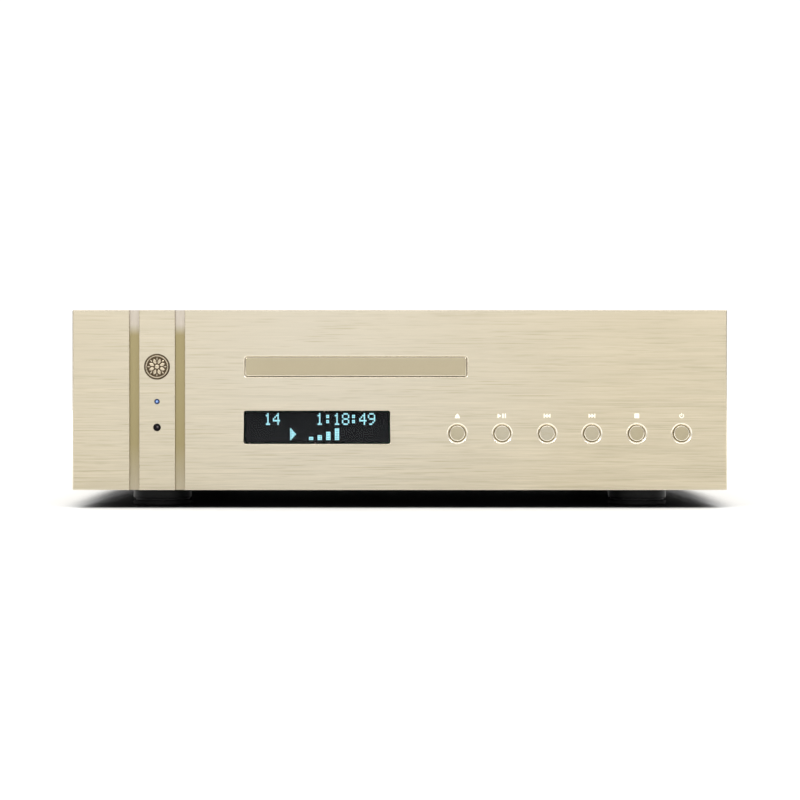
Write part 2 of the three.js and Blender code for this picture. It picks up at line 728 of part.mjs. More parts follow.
function loadingBelt() {
  const band = new THREE.Shape(beltLoop(1.6));
  band.holes.push(new THREE.Path(beltLoop(0)));
  return prismZ(band, LOADING.beltZ);
}

// Its sloping slots lift and lower the front of the deck as it slides.
function camSlider() {
  const ends = [CAM.pinX[0] - 4, CAM.pinX[1] + CAM.travel + 4];
  const plate = span(ends, CAM.y, [FRAME.floor[1] + 0.4, CAM.pinZ + 4]);
  const slots = CAM.pinX.map((x) =>
    prismY(
      stadium([x, CAM.pinZ], [x + CAM.travel, CAM.pinZ - CAM.drop], CAM.pin + 0.4),
      [CAM.y[0] - 1, CAM.y[1] + 1],
    ),
  );
  return cut(plate, slots);
}

// Sheet-metal cradle that carries the transport above its servo board.
function transportStand() {
  const [half, gauge, ys] = [72, 1.6, [-50, 120]];
  const [low, high] = [BASE_TOP + SEAM, FRAME.floor[0] - 0.2];
  const sole = span([-half, half], ys, [low, low + gauge]);
  const wall = (s) => span(ordered(s * (half - gauge), s * half), ys, [low, high]);
  const shelf = (s) => span(ordered(s * (half - 10), s * half), ys, [high - gauge, high]);
  const sideWindow = span([-80, 80], [-30, 100], [26, 46]);
  const middle = span([-60, 60], [-32, 112], [BASE_TOP - 1, BASE_TOP + 3]);
  return cut(join(sole, wall(-1), wall(1), shelf(-1), shelf(1)), sideWindow, middle);
}

// ---------------------------------------------------------------- deck: spindle, pickup and their drive

const DECK = { plate: [86, 88], rodX: 24, rodZ: 82, rod: 1.5, rods: [8.5, 78.5] };
const SLED = { module: 1, rackX: 29.5, gearTeeth: 20, pinionTeeth: 10, gearY: 44, z: [76.4, 79.2] };
const SLED_GEAR_AT = [SLED.rackX + (SLED.gearTeeth * SLED.module) / 2, SLED.gearY];
const SLED_MOTOR_AT = [
  SLED_GEAR_AT[0],
  SLED.gearY - ((SLED.gearTeeth + SLED.pinionTeeth) * SLED.module) / 2,
];
const LENS_Y = 24;

function deckPlate() {
  const [low, high] = DECK.plate;
  const sheet = prismZ(outline([[-46, -22], [22, -22], [26, -14], [50, -14], [50, 86], [-46, 86]]), DECK.plate);
  const opening = span([-21, 21], [13.5, 76], [low - 1, high + 1]);
  const lug = (x0) => span([x0, x0 + 3], [HINGE.y - 8, HINGE.y + 5], [HINGE.z - 4, low + HAIR]);
  const pins = [
    barX([HINGE.y, HINGE.z], HINGE.pin, [-55.5, -45], 8),
    barX([HINGE.y, HINGE.z], HINGE.pin, [49, 59.5], 8),
  ];
  const rodBlock = (x, y) =>
    cut(
      span([x - 3.4, x + 3.4], [y, y + 3], [DECK.rodZ - 2.5, low + HAIR]),
      barY([x, DECK.rodZ], DECK.rod + 0.15, [y - 1, y + 4], 8),
    );
  const rodBlocks = [-DECK.rodX, DECK.rodX].flatMap((x) => [
    rodBlock(x, DECK.rods[0] - 0.5),
    rodBlock(x, DECK.rods[1] - 2.5),
  ]);
  const frontLip = span([CAM.pinX[0] - 4, CAM.pinX[1] + 4], [-22, -20], [77, low + HAIR]);
  const camPins = CAM.pinX.map((x) => barY([x, CAM.pinZ], CAM.pin, [-31.5, -20.5], 8));
  const sledAxle = barZ(SLED_GEAR_AT, 1.5, [75.4, low + HAIR], 8);
  return join(
    cut(sheet, opening, barZ([0, 0], 3, [low - 1, high + 1], 8)),
    lug(-46),
    lug(47),
    pins,
    rodBlocks,
    frontLip,
    camPins,
    sledAxle,
  );
}

const MOTOR_BORE = 1.3;
function spindleMotor() {
  const top = DECK.plate[0] - SEAM;
  return cut(barZ([0, 0], 12.5, [73, top], 16), barZ([0, 0], MOTOR_BORE, [75, top + 1], 8));
}

// The platter that carries the disc, with the cone that centres it, on the motor's shaft.
function turntable() {
  const disc = TRAY.well + 1.2; // the deck holds a disc clear of the tray's floor
  return turnedZ([
    [0, 77],
    [1, 77],
    [1, DECK.plate[1] + 1],
    [5, DECK.plate[1] + 1],
    [5, disc - 3],
    [15, disc - 2.4],
    [15, disc],
    [7.4, disc],
    [7.2, disc + 1.4],
    [5.4, disc + 2.8],
    [0, disc + 2.8],
  ], 16);
}

function guideRod(x) {
  return barY([x, DECK.rodZ], DECK.rod, DECK.rods, 8);
}

// The sled rides on both rods. Its upper part reaches through the deck, with a pocket for the lens.
const LENS_POCKET = { half: [7, 6], floor: 88.8 };
function pickupSled() {
  const lower = span([-27, 27], [15, 37], [77, 85.5]);
  const upper = span([-19, 19], [16, 34], [85.5 - HAIR, 91.3]);
  const rack = prismZ(
    rackOutline(SLED.rackX, 26.4, [SLED.gearY - SLED_TRAVEL - 4, SLED.gearY + 4], SLED.module, 1, SLED.gearY),
    SLED.z,
  );
  const bores = [-DECK.rodX, DECK.rodX].map((x) => barY([x, DECK.rodZ], DECK.rod + 0.15, [10, 40], 8));
  const [hx, hy] = LENS_POCKET.half;
  const pocket = span([-hx, hx], [LENS_Y - hy, LENS_Y + hy], [LENS_POCKET.floor, 95]);
  return cut(join(lower, upper, rack), bores, pocket);
}

function objectiveLens() {
  const carrier = span([-5, 5], [LENS_Y - 4, LENS_Y + 4], [90, 93]);
  const glass = turnedZ([[0, 92.9], [2.6, 92.9], [2.6, 93.5], [1.8, 94], [0, 94.2]], 10);
  return join(carrier, moved(glass, 0, LENS_Y, 0));
}

// A small can motor that hangs under the deck on its own bracket.
function sledMotor() {
  const [x, y] = SLED_MOTOR_AT;
  const can = barZ([x, y], 7.5, [62, 75.2], 12);
  const bracket = span([x - 6, x + 6], [y - 12, y + 6], [74.4, 75.6]);
  const post = span([x - 4, x + 4], [y - 12, y - 10], [74.4, DECK.plate[0] - SEAM]);
  return cut(join(can, bracket, post), barZ([x, y], 1.05, [66, 77], 8));
}

function sledPinion() {
  const gapTurn = Math.PI / SLED.pinionTeeth;
  const pinion = prismZ(gearOutline(SLED.pinionTeeth, SLED.module, Math.PI / 2 + gapTurn), SLED.z);
  return join(pinion, barZ([0, 0], 0.8, [67, SLED.z[1] + 0.8], 8));
}

// A tooth points at the rack, and another at the pinion, because the tooth count is a multiple of four.
function sledGear() {
  return cut(
    prismZ(gearOutline(SLED.gearTeeth, SLED.module, Math.PI), SLED.z),
    barZ([0, 0], DECK.rod + 0.3, [70, 90], 8),
  );
}

// ---------------------------------------------------------------- servo board, under the transport

// A board on four posts, with its components: boxes as [x, y, width, depth, height], and cans as
// [x, y, radius, height].
const BOARD = { low: BASE_TOP + 8, thickness: BOARD_THICKNESS };
function circuitBoard([x0, x1], [y0, y1], floorZ, boxes, cans) {
  const top = BOARD.low + BOARD.thickness;
  const sheet = span([x0, x1], [y0, y1], [BOARD.low, top]);
  const inset = 5;
  const posts = [x0 + inset, x1 - inset].flatMap((x) =>
    [y0 + inset, y1 - inset].map((y) => barZ([x, y], 3, [floorZ, BOARD.low + HAIR], 6)),
  );
  const blocks = boxes.map(([x, y, w, d, h]) =>
    span([x - w / 2, x + w / 2], [y - d / 2, y + d / 2], [top - HAIR, top + h]),
  );
  const cylinders = cans.map(([x, y, r, h]) => barZ([x, y], r, [top - HAIR, top + h], 8));
  return join(sheet, posts, blocks, cylinders);
}

function controlBoard() {
  return circuitBoard(
    [-58, 58],
    [-24, 108],
    BASE_TOP + SEAM,
    [[0, 30, 22, 22, 2.4], [-34, 60, 16, 16, 2.2], [34, 70, 12, 18, 2], [-40, 0, 20, 6, 8], [38, 0, 24, 6, 8]],
    [[10, 80, 4, 11], [22, 80, 4, 11], [-10, 84, 5, 12]],
  );
}

const tray = group(
  [0, 0, 0],
  part('disc_tray', discTray(), MATERIAL.blackPlastic),
  part('tray_door', trayDoor(), MATERIAL.satinGold),
);

const deck = group(
  [0, 0, 0],
  part('deck_plate', deckPlate(), MATERIAL.steel),
  part('spindle_motor', spindleMotor(), MATERIAL.steel),
  part('turntable', turntable(), MATERIAL.blackPlastic),
  part('guide_rod_left', guideRod(-DECK.rodX), MATERIAL.steel),
  part('guide_rod_right', guideRod(DECK.rodX), MATERIAL.steel),
  part('pickup_sled', pickupSled(), MATERIAL.greyPlastic),
  part('objective_lens', objectiveLens(), MATERIAL.clearLens),
  part('sled_motor', sledMotor(), MATERIAL.steel),
  part('sled_pinion', sledPinion(), MATERIAL.whitePlastic, [...SLED_MOTOR_AT, 0]),
  part('sled_gear', sledGear(), MATERIAL.whitePlastic, [...SLED_GEAR_AT, 0]),
);

const transport = group(
  [TRAY_CENTRE_X, FACE_Y + SPINDLE_DEPTH, 0],
  tray,
  deck,
  part('loader_frame', loaderFrame(), MATERIAL.blackPlastic),
  part('transport_stand', transportStand(), MATERIAL.steel),
  part('clamp_bridge', clampBridge(), MATERIAL.steel),
  part('clamper', clamper(), MATERIAL.whitePlastic),
  part('loading_motor', loadingMotor(), MATERIAL.steel),
  part('motor_pulley', motorPulley(), MATERIAL.whitePlastic, [...LOADING.motor, 0]),
  part('loading_belt', loadingBelt(), MATERIAL.rubber),
  part('pulley_gear', pulleyGear(), MATERIAL.whitePlastic, [...PULLEY_AT, 0]),
  part('drive_gear', driveGear(), MATERIAL.whitePlastic, [...LOADING.drive, 0]),
  part('cam_slider', camSlider(), MATERIAL.whitePlastic),
  part('control_board', controlBoard(), MATERIAL.board),
);

// ---------------------------------------------------------------- supply and output electronics

const TRANSFORMER = { at: [128, -95], radius: 48, hole: 14, z: [16, 60] };

// A ring with rounded shoulders.
function transformer() {
  const { radius, hole, z } = TRANSFORMER;
  const [low, high] = z;
  const ring = turnedZ([
    [0, low],
    [radius - 8, low],
    [radius, low + 8],
    [radius, high - 8],
    [radius - 8, high],
    [0, high],
  ], 20);
  return cut(ring, barZ([0, 0], hole, [low - 1, high + 1], 12));
}

// The dished washer and bolt that hold the ring down.
function transformerClamp() {
  const top = TRANSFORMER.z[1] + SEAM;
  return turnedZ([
    [0, BASE_TOP + SEAM],
    [3, BASE_TOP + SEAM],
    [3, top],
    [30, top],
    [30, top + 1.6],
    [6.5, top + 1.6],
    [6.5, top + 7],
    [0, top + 7],
  ], 12);
}

const POWER_BOARD = { x: [62, 200], y: [-36, 136] };
function powerBoard() {
  const reservoirs = [84, 112, 140, 168].map((x) => [x, -14, 11, 35]);
  const small = [88, 110, 132, 154].map((x) => [x, 24, 5, 20]);
  return circuitBoard(
    POWER_BOARD.x,
    POWER_BOARD.y,
    BASE_TOP + SEAM,
    [[180, 60, 28, 24, 24], [176, 100, 20, 12, 16], [84, 60, 20, 24, 4], [150, 118, 22, 10, 11]],
    [...reservoirs, ...small],
  );
}

// A comb of fins that cools the regulators.
function heatsink() {
  const [x0, x1, y0, y1] = [72, 152, 76, 96];
  const fins = 9;
  const step = (x1 - x0 - 2) / (fins - 1);
  const base = span([x0, x1], [y0, y0 + 4], [BOARD.low + BOARD.thickness + SEAM, 58]);
  const blades = Array.from({ length: fins }, (_, i) =>
    span([x0 + i * step, x0 + i * step + 2], [y0 + 4 - HAIR, y1], [BOARD.low + BOARD.thickness + SEAM, 58]),
  );
  return join(base, blades);
}

function outputBoard() {
  const filters = [-190, -176, -162, -148].map((x) => [x, 64, 5, 16]);
  return circuitBoard(
    [-204, 24],
    [52, 156],
    BASE_TOP + SEAM,
    [
      [-30, 78, 46, 36, 12],
      [-100, 84, 18, 18, 2.4],
      [-170, 104, 26, 14, 10],
      [-120, 118, 26, 14, 10],
      [0, 110, 14, 14, 2.4],
    ],
    [...filters, [-76, 70, 4, 12], [-76, 84, 4, 12]],
  );
}

const electronics = group(
  [0, 0, 0],
  part('toroidal_transformer', transformer(), MATERIAL.winding, [...TRANSFORMER.at, 0]),
  part('transformer_clamp', transformerClamp(), MATERIAL.steel, [...TRANSFORMER.at, 0]),
  part('power_board', powerBoard(), MATERIAL.board),
  part('regulator_heatsink', heatsink(), MATERIAL.steel),
  part('output_board', outputBoard(), MATERIAL.board),
);

// ---------------------------------------------------------------- rear panel and its sockets
// In this group the origin is on the rear panel's outer face, at shelf height, and y runs out of the player.

const JACK_Z = 46;
const PHONO = { x: [-96, -72], radius: 4.15, coaxX: -40 };
const XLR = { x: [-176, -134], radius: 11.6, flange: [26, 31] };
const OPTICAL_X = -12;
const INLET = { at: [172, 64], flange: [31, 60], body: [27, 56] };
const SOCKET = { z: -15, size: [22.6, 16.4], depth: 16 };
const FUSE = { z: 3.6, size: [20.4, 8.8], depth: 20, travel: 18 };
const ROCKER = { z: 18, radius: 6.5, half: 9.6, tilt: THREE.MathUtils.degToRad(7) };

function rearPanel() {
  const x = SIDE_INNER - SEAM;
  const sheet = span([-x, x], [-CASE.rear, 0], [BASE_TOP + SEAM, COVER_BOTTOM - SEAM]);
  const through = [-CASE.rear - 1, 1];
  const [ix, iz] = INLET.at;
  const [bw, bh] = INLET.body;
  return cut(
    sheet,
    XLR.x.map((cx) => barY([cx, JACK_Z], XLR.radius + 0.4, through, 12)),
    [...PHONO.x, PHONO.coaxX].map((cx) => barY([cx, JACK_Z], PHONO.radius + 0.3, through, 10)),
    span([OPTICAL_X - 5, OPTICAL_X + 5], through, [JACK_Z - 5, JACK_Z + 5]),
    span([ix - bw / 2 - 0.3, ix + bw / 2 + 0.3], through, [iz - bh / 2 - 0.3, iz + bh / 2 + 0.3]),
  );
}

// A chassis-mount phono socket: nut inside, collar outside, and a bore for the plug's pin.
function phonoJack() {
  const r = PHONO.radius;
  const inside = -CASE.rear - SEAM;
  return turnedY([
    [0, -14],
    [r - 0.6, -14],
    [r - 0.6, inside - 2.2],
    [6.4, inside - 2.2],
    [6.4, inside],
    [r, inside],
    [r, SEAM],
    [7, SEAM],
    [7, 2.6],
    [r, 2.6],
    [r, JACK_PROUD],
    [1.7, JACK_PROUD],
    [1.7, -4],
    [0, -4],
  ], 10);
}

// A three-pin plug recessed in its shell.
function xlrJack() {
  const [w, h] = XLR.flange;
  const flange = prismY(roundedRect([0, 0], [w, h], 3), [SEAM, 2.1], 2);
  const shell = barY([0, 0], XLR.radius, [-18, SEAM + 1], 12);
  const recess = barY([0, 0], 9.6, [-14, 3], 12);
  const pins = [210, 330, 90].map((degrees) => {
    const a = THREE.MathUtils.degToRad(degrees);
    return barY([4.6 * Math.cos(a), 4.6 * Math.sin(a)], 1.2, [-14 - 1, -2], 6);
  });
  return join(cut(join(flange, shell), recess), pins);
}

function opticalJack() {
  const body = span([-6.5, 6.5], [-14, -CASE.rear - SEAM], [-6.5, 6.5]);
  const nose = span([-4.8, 4.8], [-3, 1.4], [-4.8, 4.8]);
  const recess = span([-3.8, 3.8], [-8, 2], [-3.8, 3.8]);
  return join(cut(join(body, nose), recess), barY([0, 0], 1.2, [-9, -4], 8));
}

// Mains socket, fuse pocket and switch pocket in one moulding.
function powerInlet() {
  const [fw, fh] = INLET.flange;
  const [bw, bh] = INLET.body;
  const flange = prismY(roundedRect([0, 0], [fw, fh], 2), [SEAM, 2.6], 2);
  const body = span([-bw / 2, bw / 2], [-26, SEAM + 1], [-bh / 2, bh / 2]);
  const pocket = ([w, h], z, depth) => span([-w / 2, w / 2], [-depth, 4], [z - h / 2, z + h / 2]);
  const blades = [[-7, -1], [7, -1], [0, 3]].map(([x, dz]) =>
    span([x - 1, x + 1], [-SOCKET.depth - 1, -3], [SOCKET.z + dz - 2, SOCKET.z + dz + 2]),
  );
  return join(
    cut(
      join(flange, body),
      pocket(SOCKET.size, SOCKET.z, SOCKET.depth),
      pocket([FUSE.size[0] + 0.6, FUSE.size[1] + 0.6], FUSE.z, FUSE.depth + 2),
      pocket([2 * ROCKER.half + 0.8, 2 * ROCKER.radius + 0.6], ROCKER.z, 10),
    ),
    blades,
  );
}

// The switch turns about its middle. Its ends are arcs about that axis, and its face is a shallow V.
function powerRocker() {
  const corner = THREE.MathUtils.degToRad(22);
  const side = (s) =>
    [-40, -20, 0].map((d) => THREE.MathUtils.degToRad(d)).concat(corner).map((a) => [
      ROCKER.radius * Math.sin(a),
      s * ROCKER.radius * Math.cos(a),
    ]);
  return prismX(outline([...side(-1), [1.4, 0], ...side(1).reverse()]), [-ROCKER.half, ROCKER.half]);
}

function fuseDrawer() {
  const [w, h] = FUSE.size;
  const body = span([-w / 2, w / 2], [-FUSE.depth, 2.4], [-h / 2, h / 2]);
  const grip = span([-5, 5], [1.6, 3], [h / 2 - 2.4, h / 2 + 1]);
  return cut(body, grip);
}

function inletPlace(z) {
  return [INLET.at[0], 0, INLET.at[1] + z];
}

const rocker = part('power_rocker', powerRocker(), MATERIAL.blackPlastic, inletPlace(ROCKER.z));
rocker.rotation.x = -ROCKER.tilt;

const rear = group(
  [0, REAR_Y, 0],
  part('rear_panel', rearPanel(), MATERIAL.blackSteel),
  part('rca_jack_left', phonoJack(), MATERIAL.goldPlate, [PHONO.x[0], 0, JACK_Z]),
  part('rca_jack_right', phonoJack(), MATERIAL.goldPlate, [PHONO.x[1], 0, JACK_Z]),
  part('coaxial_jack', phonoJack(), MATERIAL.goldPlate, [PHONO.coaxX, 0, JACK_Z]),
  part('xlr_jack_left', xlrJack(), MATERIAL.steel, [XLR.x[0], 0, JACK_Z]),
  part('xlr_jack_right', xlrJack(), MATERIAL.steel, [XLR.x[1], 0, JACK_Z]),
  part('optical_jack', opticalJack(), MATERIAL.blackPlastic, [OPTICAL_X, 0, JACK_Z]),
  part('power_inlet', powerInlet(), MATERIAL.blackPlastic, inletPlace(0)),
  part('fuse_drawer', fuseDrawer(), MATERIAL.blackPlastic, inletPlace(FUSE.z)),
  rocker,
);

export default group([0, 0, 0], enclosure, front, transport, electronics, rear);
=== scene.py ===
"""A champagne-coloured compact disc player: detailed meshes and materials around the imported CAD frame.

Lengths are millimetres, x to the right, y to the rear and z up, until points() turns them into metres.
"""

import math

import bmesh
import bpy
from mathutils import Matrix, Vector


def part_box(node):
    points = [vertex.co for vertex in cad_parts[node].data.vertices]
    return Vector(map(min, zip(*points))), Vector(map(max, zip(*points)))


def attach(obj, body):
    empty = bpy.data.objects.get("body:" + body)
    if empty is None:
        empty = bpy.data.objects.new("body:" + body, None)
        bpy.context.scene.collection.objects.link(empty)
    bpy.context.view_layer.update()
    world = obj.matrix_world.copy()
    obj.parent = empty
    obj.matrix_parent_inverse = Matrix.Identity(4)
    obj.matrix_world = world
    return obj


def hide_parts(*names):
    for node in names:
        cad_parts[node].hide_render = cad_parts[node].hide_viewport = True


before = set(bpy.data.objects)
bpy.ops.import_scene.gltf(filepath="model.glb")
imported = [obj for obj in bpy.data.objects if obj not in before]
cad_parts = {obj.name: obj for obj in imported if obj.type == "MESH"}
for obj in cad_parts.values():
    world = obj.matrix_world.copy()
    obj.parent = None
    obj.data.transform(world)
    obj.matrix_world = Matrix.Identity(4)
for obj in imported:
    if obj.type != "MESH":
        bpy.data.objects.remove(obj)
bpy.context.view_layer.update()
MM = 0.001


# --- places, taken from the CAD frame

def low(node):
    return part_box(node)[0] / MM


def high(node):
    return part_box(node)[1] / MM


def centre(node):
    return (low(node) + high(node)) / 2


def span(node):
    return high(node) - low(node)


def depths(node, face):
    """Where a node begins and ends, as w from a face of the player."""
    return low(node).y - face, high(node).y - face


PANEL_LOW, PANEL_HIGH = low("front_panel"), high("front_panel")
FACE_Y = PANEL_LOW.y
REAR_Y = high("rear_panel").y


def on_front(u, v, w):
    """u to the right, v up, w into the player from the front panel's face."""
    return u, FACE_Y + w, v


def on_rear(u, v, w):
    """u to the right as seen from the front, v up, w out of the player from the rear panel's face."""
    return u, REAR_Y + w, v


def upright(u, v, w):
    return u, v, w


def sideways(u, v, w):
    return w, u, v


# --- materials

LANE_STEP = 7.31  # how far apart in the noise two neighbouring lanes lie
ENDLESS = 1e6  # a grain so long that the noise stays the same along it
# the colour of the painted sheen on the front panel and the button caps
SHEEN_COLOUR = (0.60, 0.60, 0.585)


class Look:
    """A node material under construction: its principled shader, and short ways to feed it."""

    def __init__(self, name, colour, metallic=0.0, roughness=0.5, **inputs):
        self.material = bpy.data.materials.new(name)
        self.material.use_nodes = True
        self.tree = self.material.node_tree
        self.shader = self.tree.nodes["Principled BSDF"]
        self.colour = (*colour, 1.0)
        inputs.update({"Base Color": self.colour, "Metallic": metallic, "Roughness": roughness})
        for key, value in inputs.items():
            self.shader.inputs[key.replace("_", " ")].default_value = value
        self.place = self.tree.nodes.new("ShaderNodeTexCoord").outputs["Object"]
        self.painted = self.height = None

    def node(self, kind, inputs=(), **settings):
        """Adds a shader node. inputs: values or sockets, by the input's name or number."""
        node = self.tree.nodes.new("ShaderNode" + kind)
        for key, value in settings.items():
            setattr(node, key, value)
        for key, value in dict(inputs).items():
            if isinstance(value, bpy.types.NodeSocket):
                self.tree.links.new(value, node.inputs[key])
            else:
                node.inputs[key].default_value = value
        return node

    def feed(self, name, value, *limits):
        """Feeds an input of the shader with a socket, or with what remap makes of it."""
        self.tree.links.new(self.remap(value, *limits) if limits else value, self.shader.inputs[name])
        return self

    def calc(self, operation, *values, **settings):
        return self.node("Math", enumerate(values), operation=operation, **settings).outputs["Value"]

    def along(self, axis, vector=None):
        """The x, y or z (0, 1 or 2) of a vector, or of the place on the object."""
        return self.node("SeparateXYZ", {0: vector or self.place}).outputs[axis]

    def distance(self, middle):
        """How far the place is from another one, which is given in millimetres."""
        inputs = {0: self.place, 1: Vector(middle) * MM}
        return self.node("VectorMath", inputs, operation="DISTANCE").outputs["Value"]

    def stretched(self, grain):
        """Coordinates in which one unit is a grain of these lengths, in millimetres, along x, y and z."""
        scale = [1 / (MM * g) for g in grain]
        return self.node("Mapping", {"Vector": self.place, "Scale": scale}).outputs["Vector"]

    def noise(self, grain, detail=3.0, roughness=0.6, lane=None):
        """Noise with a grain in millimetres. lane: a socket that picks one of many such noises."""
        inputs = {"Vector": self.stretched(grain), "Scale": 1.0, "Detail": detail, "Roughness": roughness}
        if lane:
            return self.node("TexNoise", {**inputs, "W": lane}, noise_dimensions="4D").outputs["Fac"]
        return self.node("TexNoise", inputs).outputs["Fac"]

    def lanes(self, across, pitch, length, detail=2.0):
        """Noise in straight lanes, pitch wide along one axis and drawn out to length along the others."""
        number = self.calc("FLOOR", self.along(across, self.stretched((pitch,) * 3)))
        grain = [length] * 3
        grain[across] = ENDLESS
        return self.noise(grain, detail, lane=self.calc("MULTIPLY", number, LANE_STEP))

    def remap(self, value, to_low, to_high, from_low=0.3, from_high=0.7):
        inputs = enumerate((value, from_low, from_high, to_low, to_high))
        return self.node("MapRange", inputs).outputs["Result"]

    def paint(self, other, value, *limits):
        """Mixes the colour so far towards another one, by a socket or by what remap makes of it."""
        factor = self.remap(value, *limits) if limits else value
        inputs = {"Factor": factor, "A": self.painted or self.colour, "B": (*other, 1.0)}
        self.painted = self.node("Mix", inputs, data_type="RGBA").outputs["Result"]
        return self.feed("Base Color", self.painted)

    def bump(self, height, depth):
        """Raises the surface by the height socket times a depth in millimetres, on top of earlier bumps."""
        inputs = {"Height": height, "Distance": depth * MM}
        if self.height:
            inputs["Normal"] = self.height
        self.height = self.node("Bump", inputs).outputs["Normal"]
        return self.feed("Normal", self.height)


def shade(colour, factor):
    return tuple(min(1.0, c * factor) for c in colour)


def brushed(name, colour, across, pitch, length, roughness=0.36, contrast=0.1, depth=0.004, sheen=None):
    """Metal brushed in one direction: fine streaks in colour, gloss and height, a few darker scratches, and a
    highlight drawn out across them. across: the axis (0, 1 or 2) that the streaks are thin along; pitch and
    length: their size. sheen: (place, reach, share) of a painted sheen, a paler zone on the front panel; with
    it, painted shade darkens the colour towards the panel's top."""
    look = Look(name, colour, 1.0, roughness, Anisotropic=0.55)
    fine = look.lanes(across, pitch, length, 3.0)
    medium = look.lanes(across, pitch * 2.1, length * 2.2)
    scratch = look.lanes(across, pitch * 1.6, length * 1.2)
    patch = look.noise([60 if axis != across else 9 for axis in range(3)], 2.0, 0.5)
    red, green, blue = shade(colour, 1 - contrast * 2.2)
    dark = (red, green, blue * 0.92)
    look.paint(dark, fine, 0, 0.8)
    look.paint(shade(colour, 1 + contrast), medium, 0, 0.7)
    look.paint(dark, patch, 0, 0.25)
    if sheen:
        middle, reach, share = sheen
        # painted sheen: paler round the middle, standing in for the lamps' glow on the panel
        look.paint(SHEEN_COLOUR, look.distance(middle), share, 0, 0, reach * MM)
        # painted shade: the colour darkens towards the panel's top
        look.paint(shade(colour, 0.86), look.along(2), 0, 0.55, PANEL_LOW.z * MM, PANEL_HIGH.z * MM)
    look.paint(dark, scratch, 0, 0.6, 0.55, 0.72)
    look.feed("Roughness", fine, roughness - 0.05, roughness + 0.07)
    look.feed("Tangent", look.node("CombineXYZ", {across: 1.0}).outputs["Vector"])
    return look.bump(fine, depth).material


def satin(name, colour, roughness=0.42, grain=0.35, depth=0.003):
    """Metal with an even blasted or anodised look."""
    look = Look(name, colour, 1.0, roughness)
    fine = look.noise((grain,) * 3)
    patch = look.noise((35, 35, 35), 2.0, 0.5)
    look.paint(shade(colour, 0.9), fine, 0, 0.35)
    look.paint(shade(colour, 1.06), patch, 0, 0.5)
    look.feed("Roughness", fine, roughness - 0.05, roughness + 0.08)
    return look.bump(fine, depth).material


def moulded(name, colour, roughness=0.5, grain=0.5, depth=0.01, specular=0.5, **inputs):
    """Plastic or rubber with a moulded grain and slightly uneven gloss."""
    look = Look(name, colour, 0.0, roughness, Specular_IOR_Level=specular, **inputs)
    fine = look.noise((grain,) * 3)
    patch = look.noise((9, 9, 9), 4.0)
    look.paint(shade(colour, 0.85), patch, 0, 0.4)
    look.feed("Roughness", patch, roughness - 0.03, roughness + 0.04)
    return look.bump(fine, depth).material


def glossy(name, colour, spot=None, specular=0.5, **inputs):
    """Polished plastic or glass, with faint smears. spot: (place, radius, colour) of a painted highlight, a
    paler spot on the surface."""
    look = Look(name, colour, 0.0, 0.06, Specular_IOR_Level=specular, **inputs)
    if spot:
        middle, radius, painted_light = spot
        look.paint(painted_light, look.distance(middle), 1, 0, 0.4 * MM, radius * MM)
    return look.feed("Roughness", look.noise((14, 14, 5), 4.0), 0.03, 0.11).material


def smoked_pane():
    """A dark pane that shows what is lit behind it and mirrors the room a little."""
    look = Look("smoked_pane", (0.01, 0.01, 0.012), 0.0, 0.05)
    through = look.node("BsdfTransparent", {"Color": (0.80, 0.81, 0.82, 1)}).outputs["BSDF"]
    smear = look.remap(look.noise((18, 18, 6), 4.0), 0.03, 0.1)
    mirror = look.node("BsdfGlossy", {"Color": (1, 1, 1, 1), "Roughness": smear}).outputs["BSDF"]
    fresnel = look.node("Fresnel", {"IOR": 1.17}).outputs["Fac"]
    inside = look.node("NewGeometry").outputs["Backfacing"]
    mirrored = look.calc("SUBTRACT", fresnel, inside, use_clamp=True)
    mix = look.node("MixShader", {0: mirrored, 1: through, 2: mirror})
    look.tree.links.new(mix.outputs[0], look.tree.nodes["Material Output"].inputs["Surface"])
    return look.material


def lit(name, colour, edge, strength, middle, radius):
    """A lamp behind a lens: its colour glows most in the middle, which is a place, and fades to the rim."""
    look = Look(name, edge, 0.0, 0.15, Emission_Color=(*colour, 1))
    near = look.remap(look.distance(middle), 1, 0, 0, radius * MM)
    return look.paint(colour, near).feed("Emission Strength", near, 0, strength, 0.15, 0.75).material


def glowing_dots():
    """The display's phosphor: each dot is a little uneven."""
    colour = (0.34, 0.70, 0.76)
    look = Look("phosphor", colour, Emission_Color=(*colour, 1))
    return look.feed("Emission Strength", look.noise((1.3, 1.3, 1.3), 2.0, 0.5), 1.3, 1.7).material


def board_face(node, axis, way):
    """Where a board's component side lies along an axis: its largest flat face that looks that way."""
    areas = {}
    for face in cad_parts[node].data.polygons:
        if face.normal[axis] * way > 0.99:
            place = round(face.center[axis] / MM, 1)
            areas[place] = areas.get(place, 0) + face.area
    return max(areas, key=areas.get)


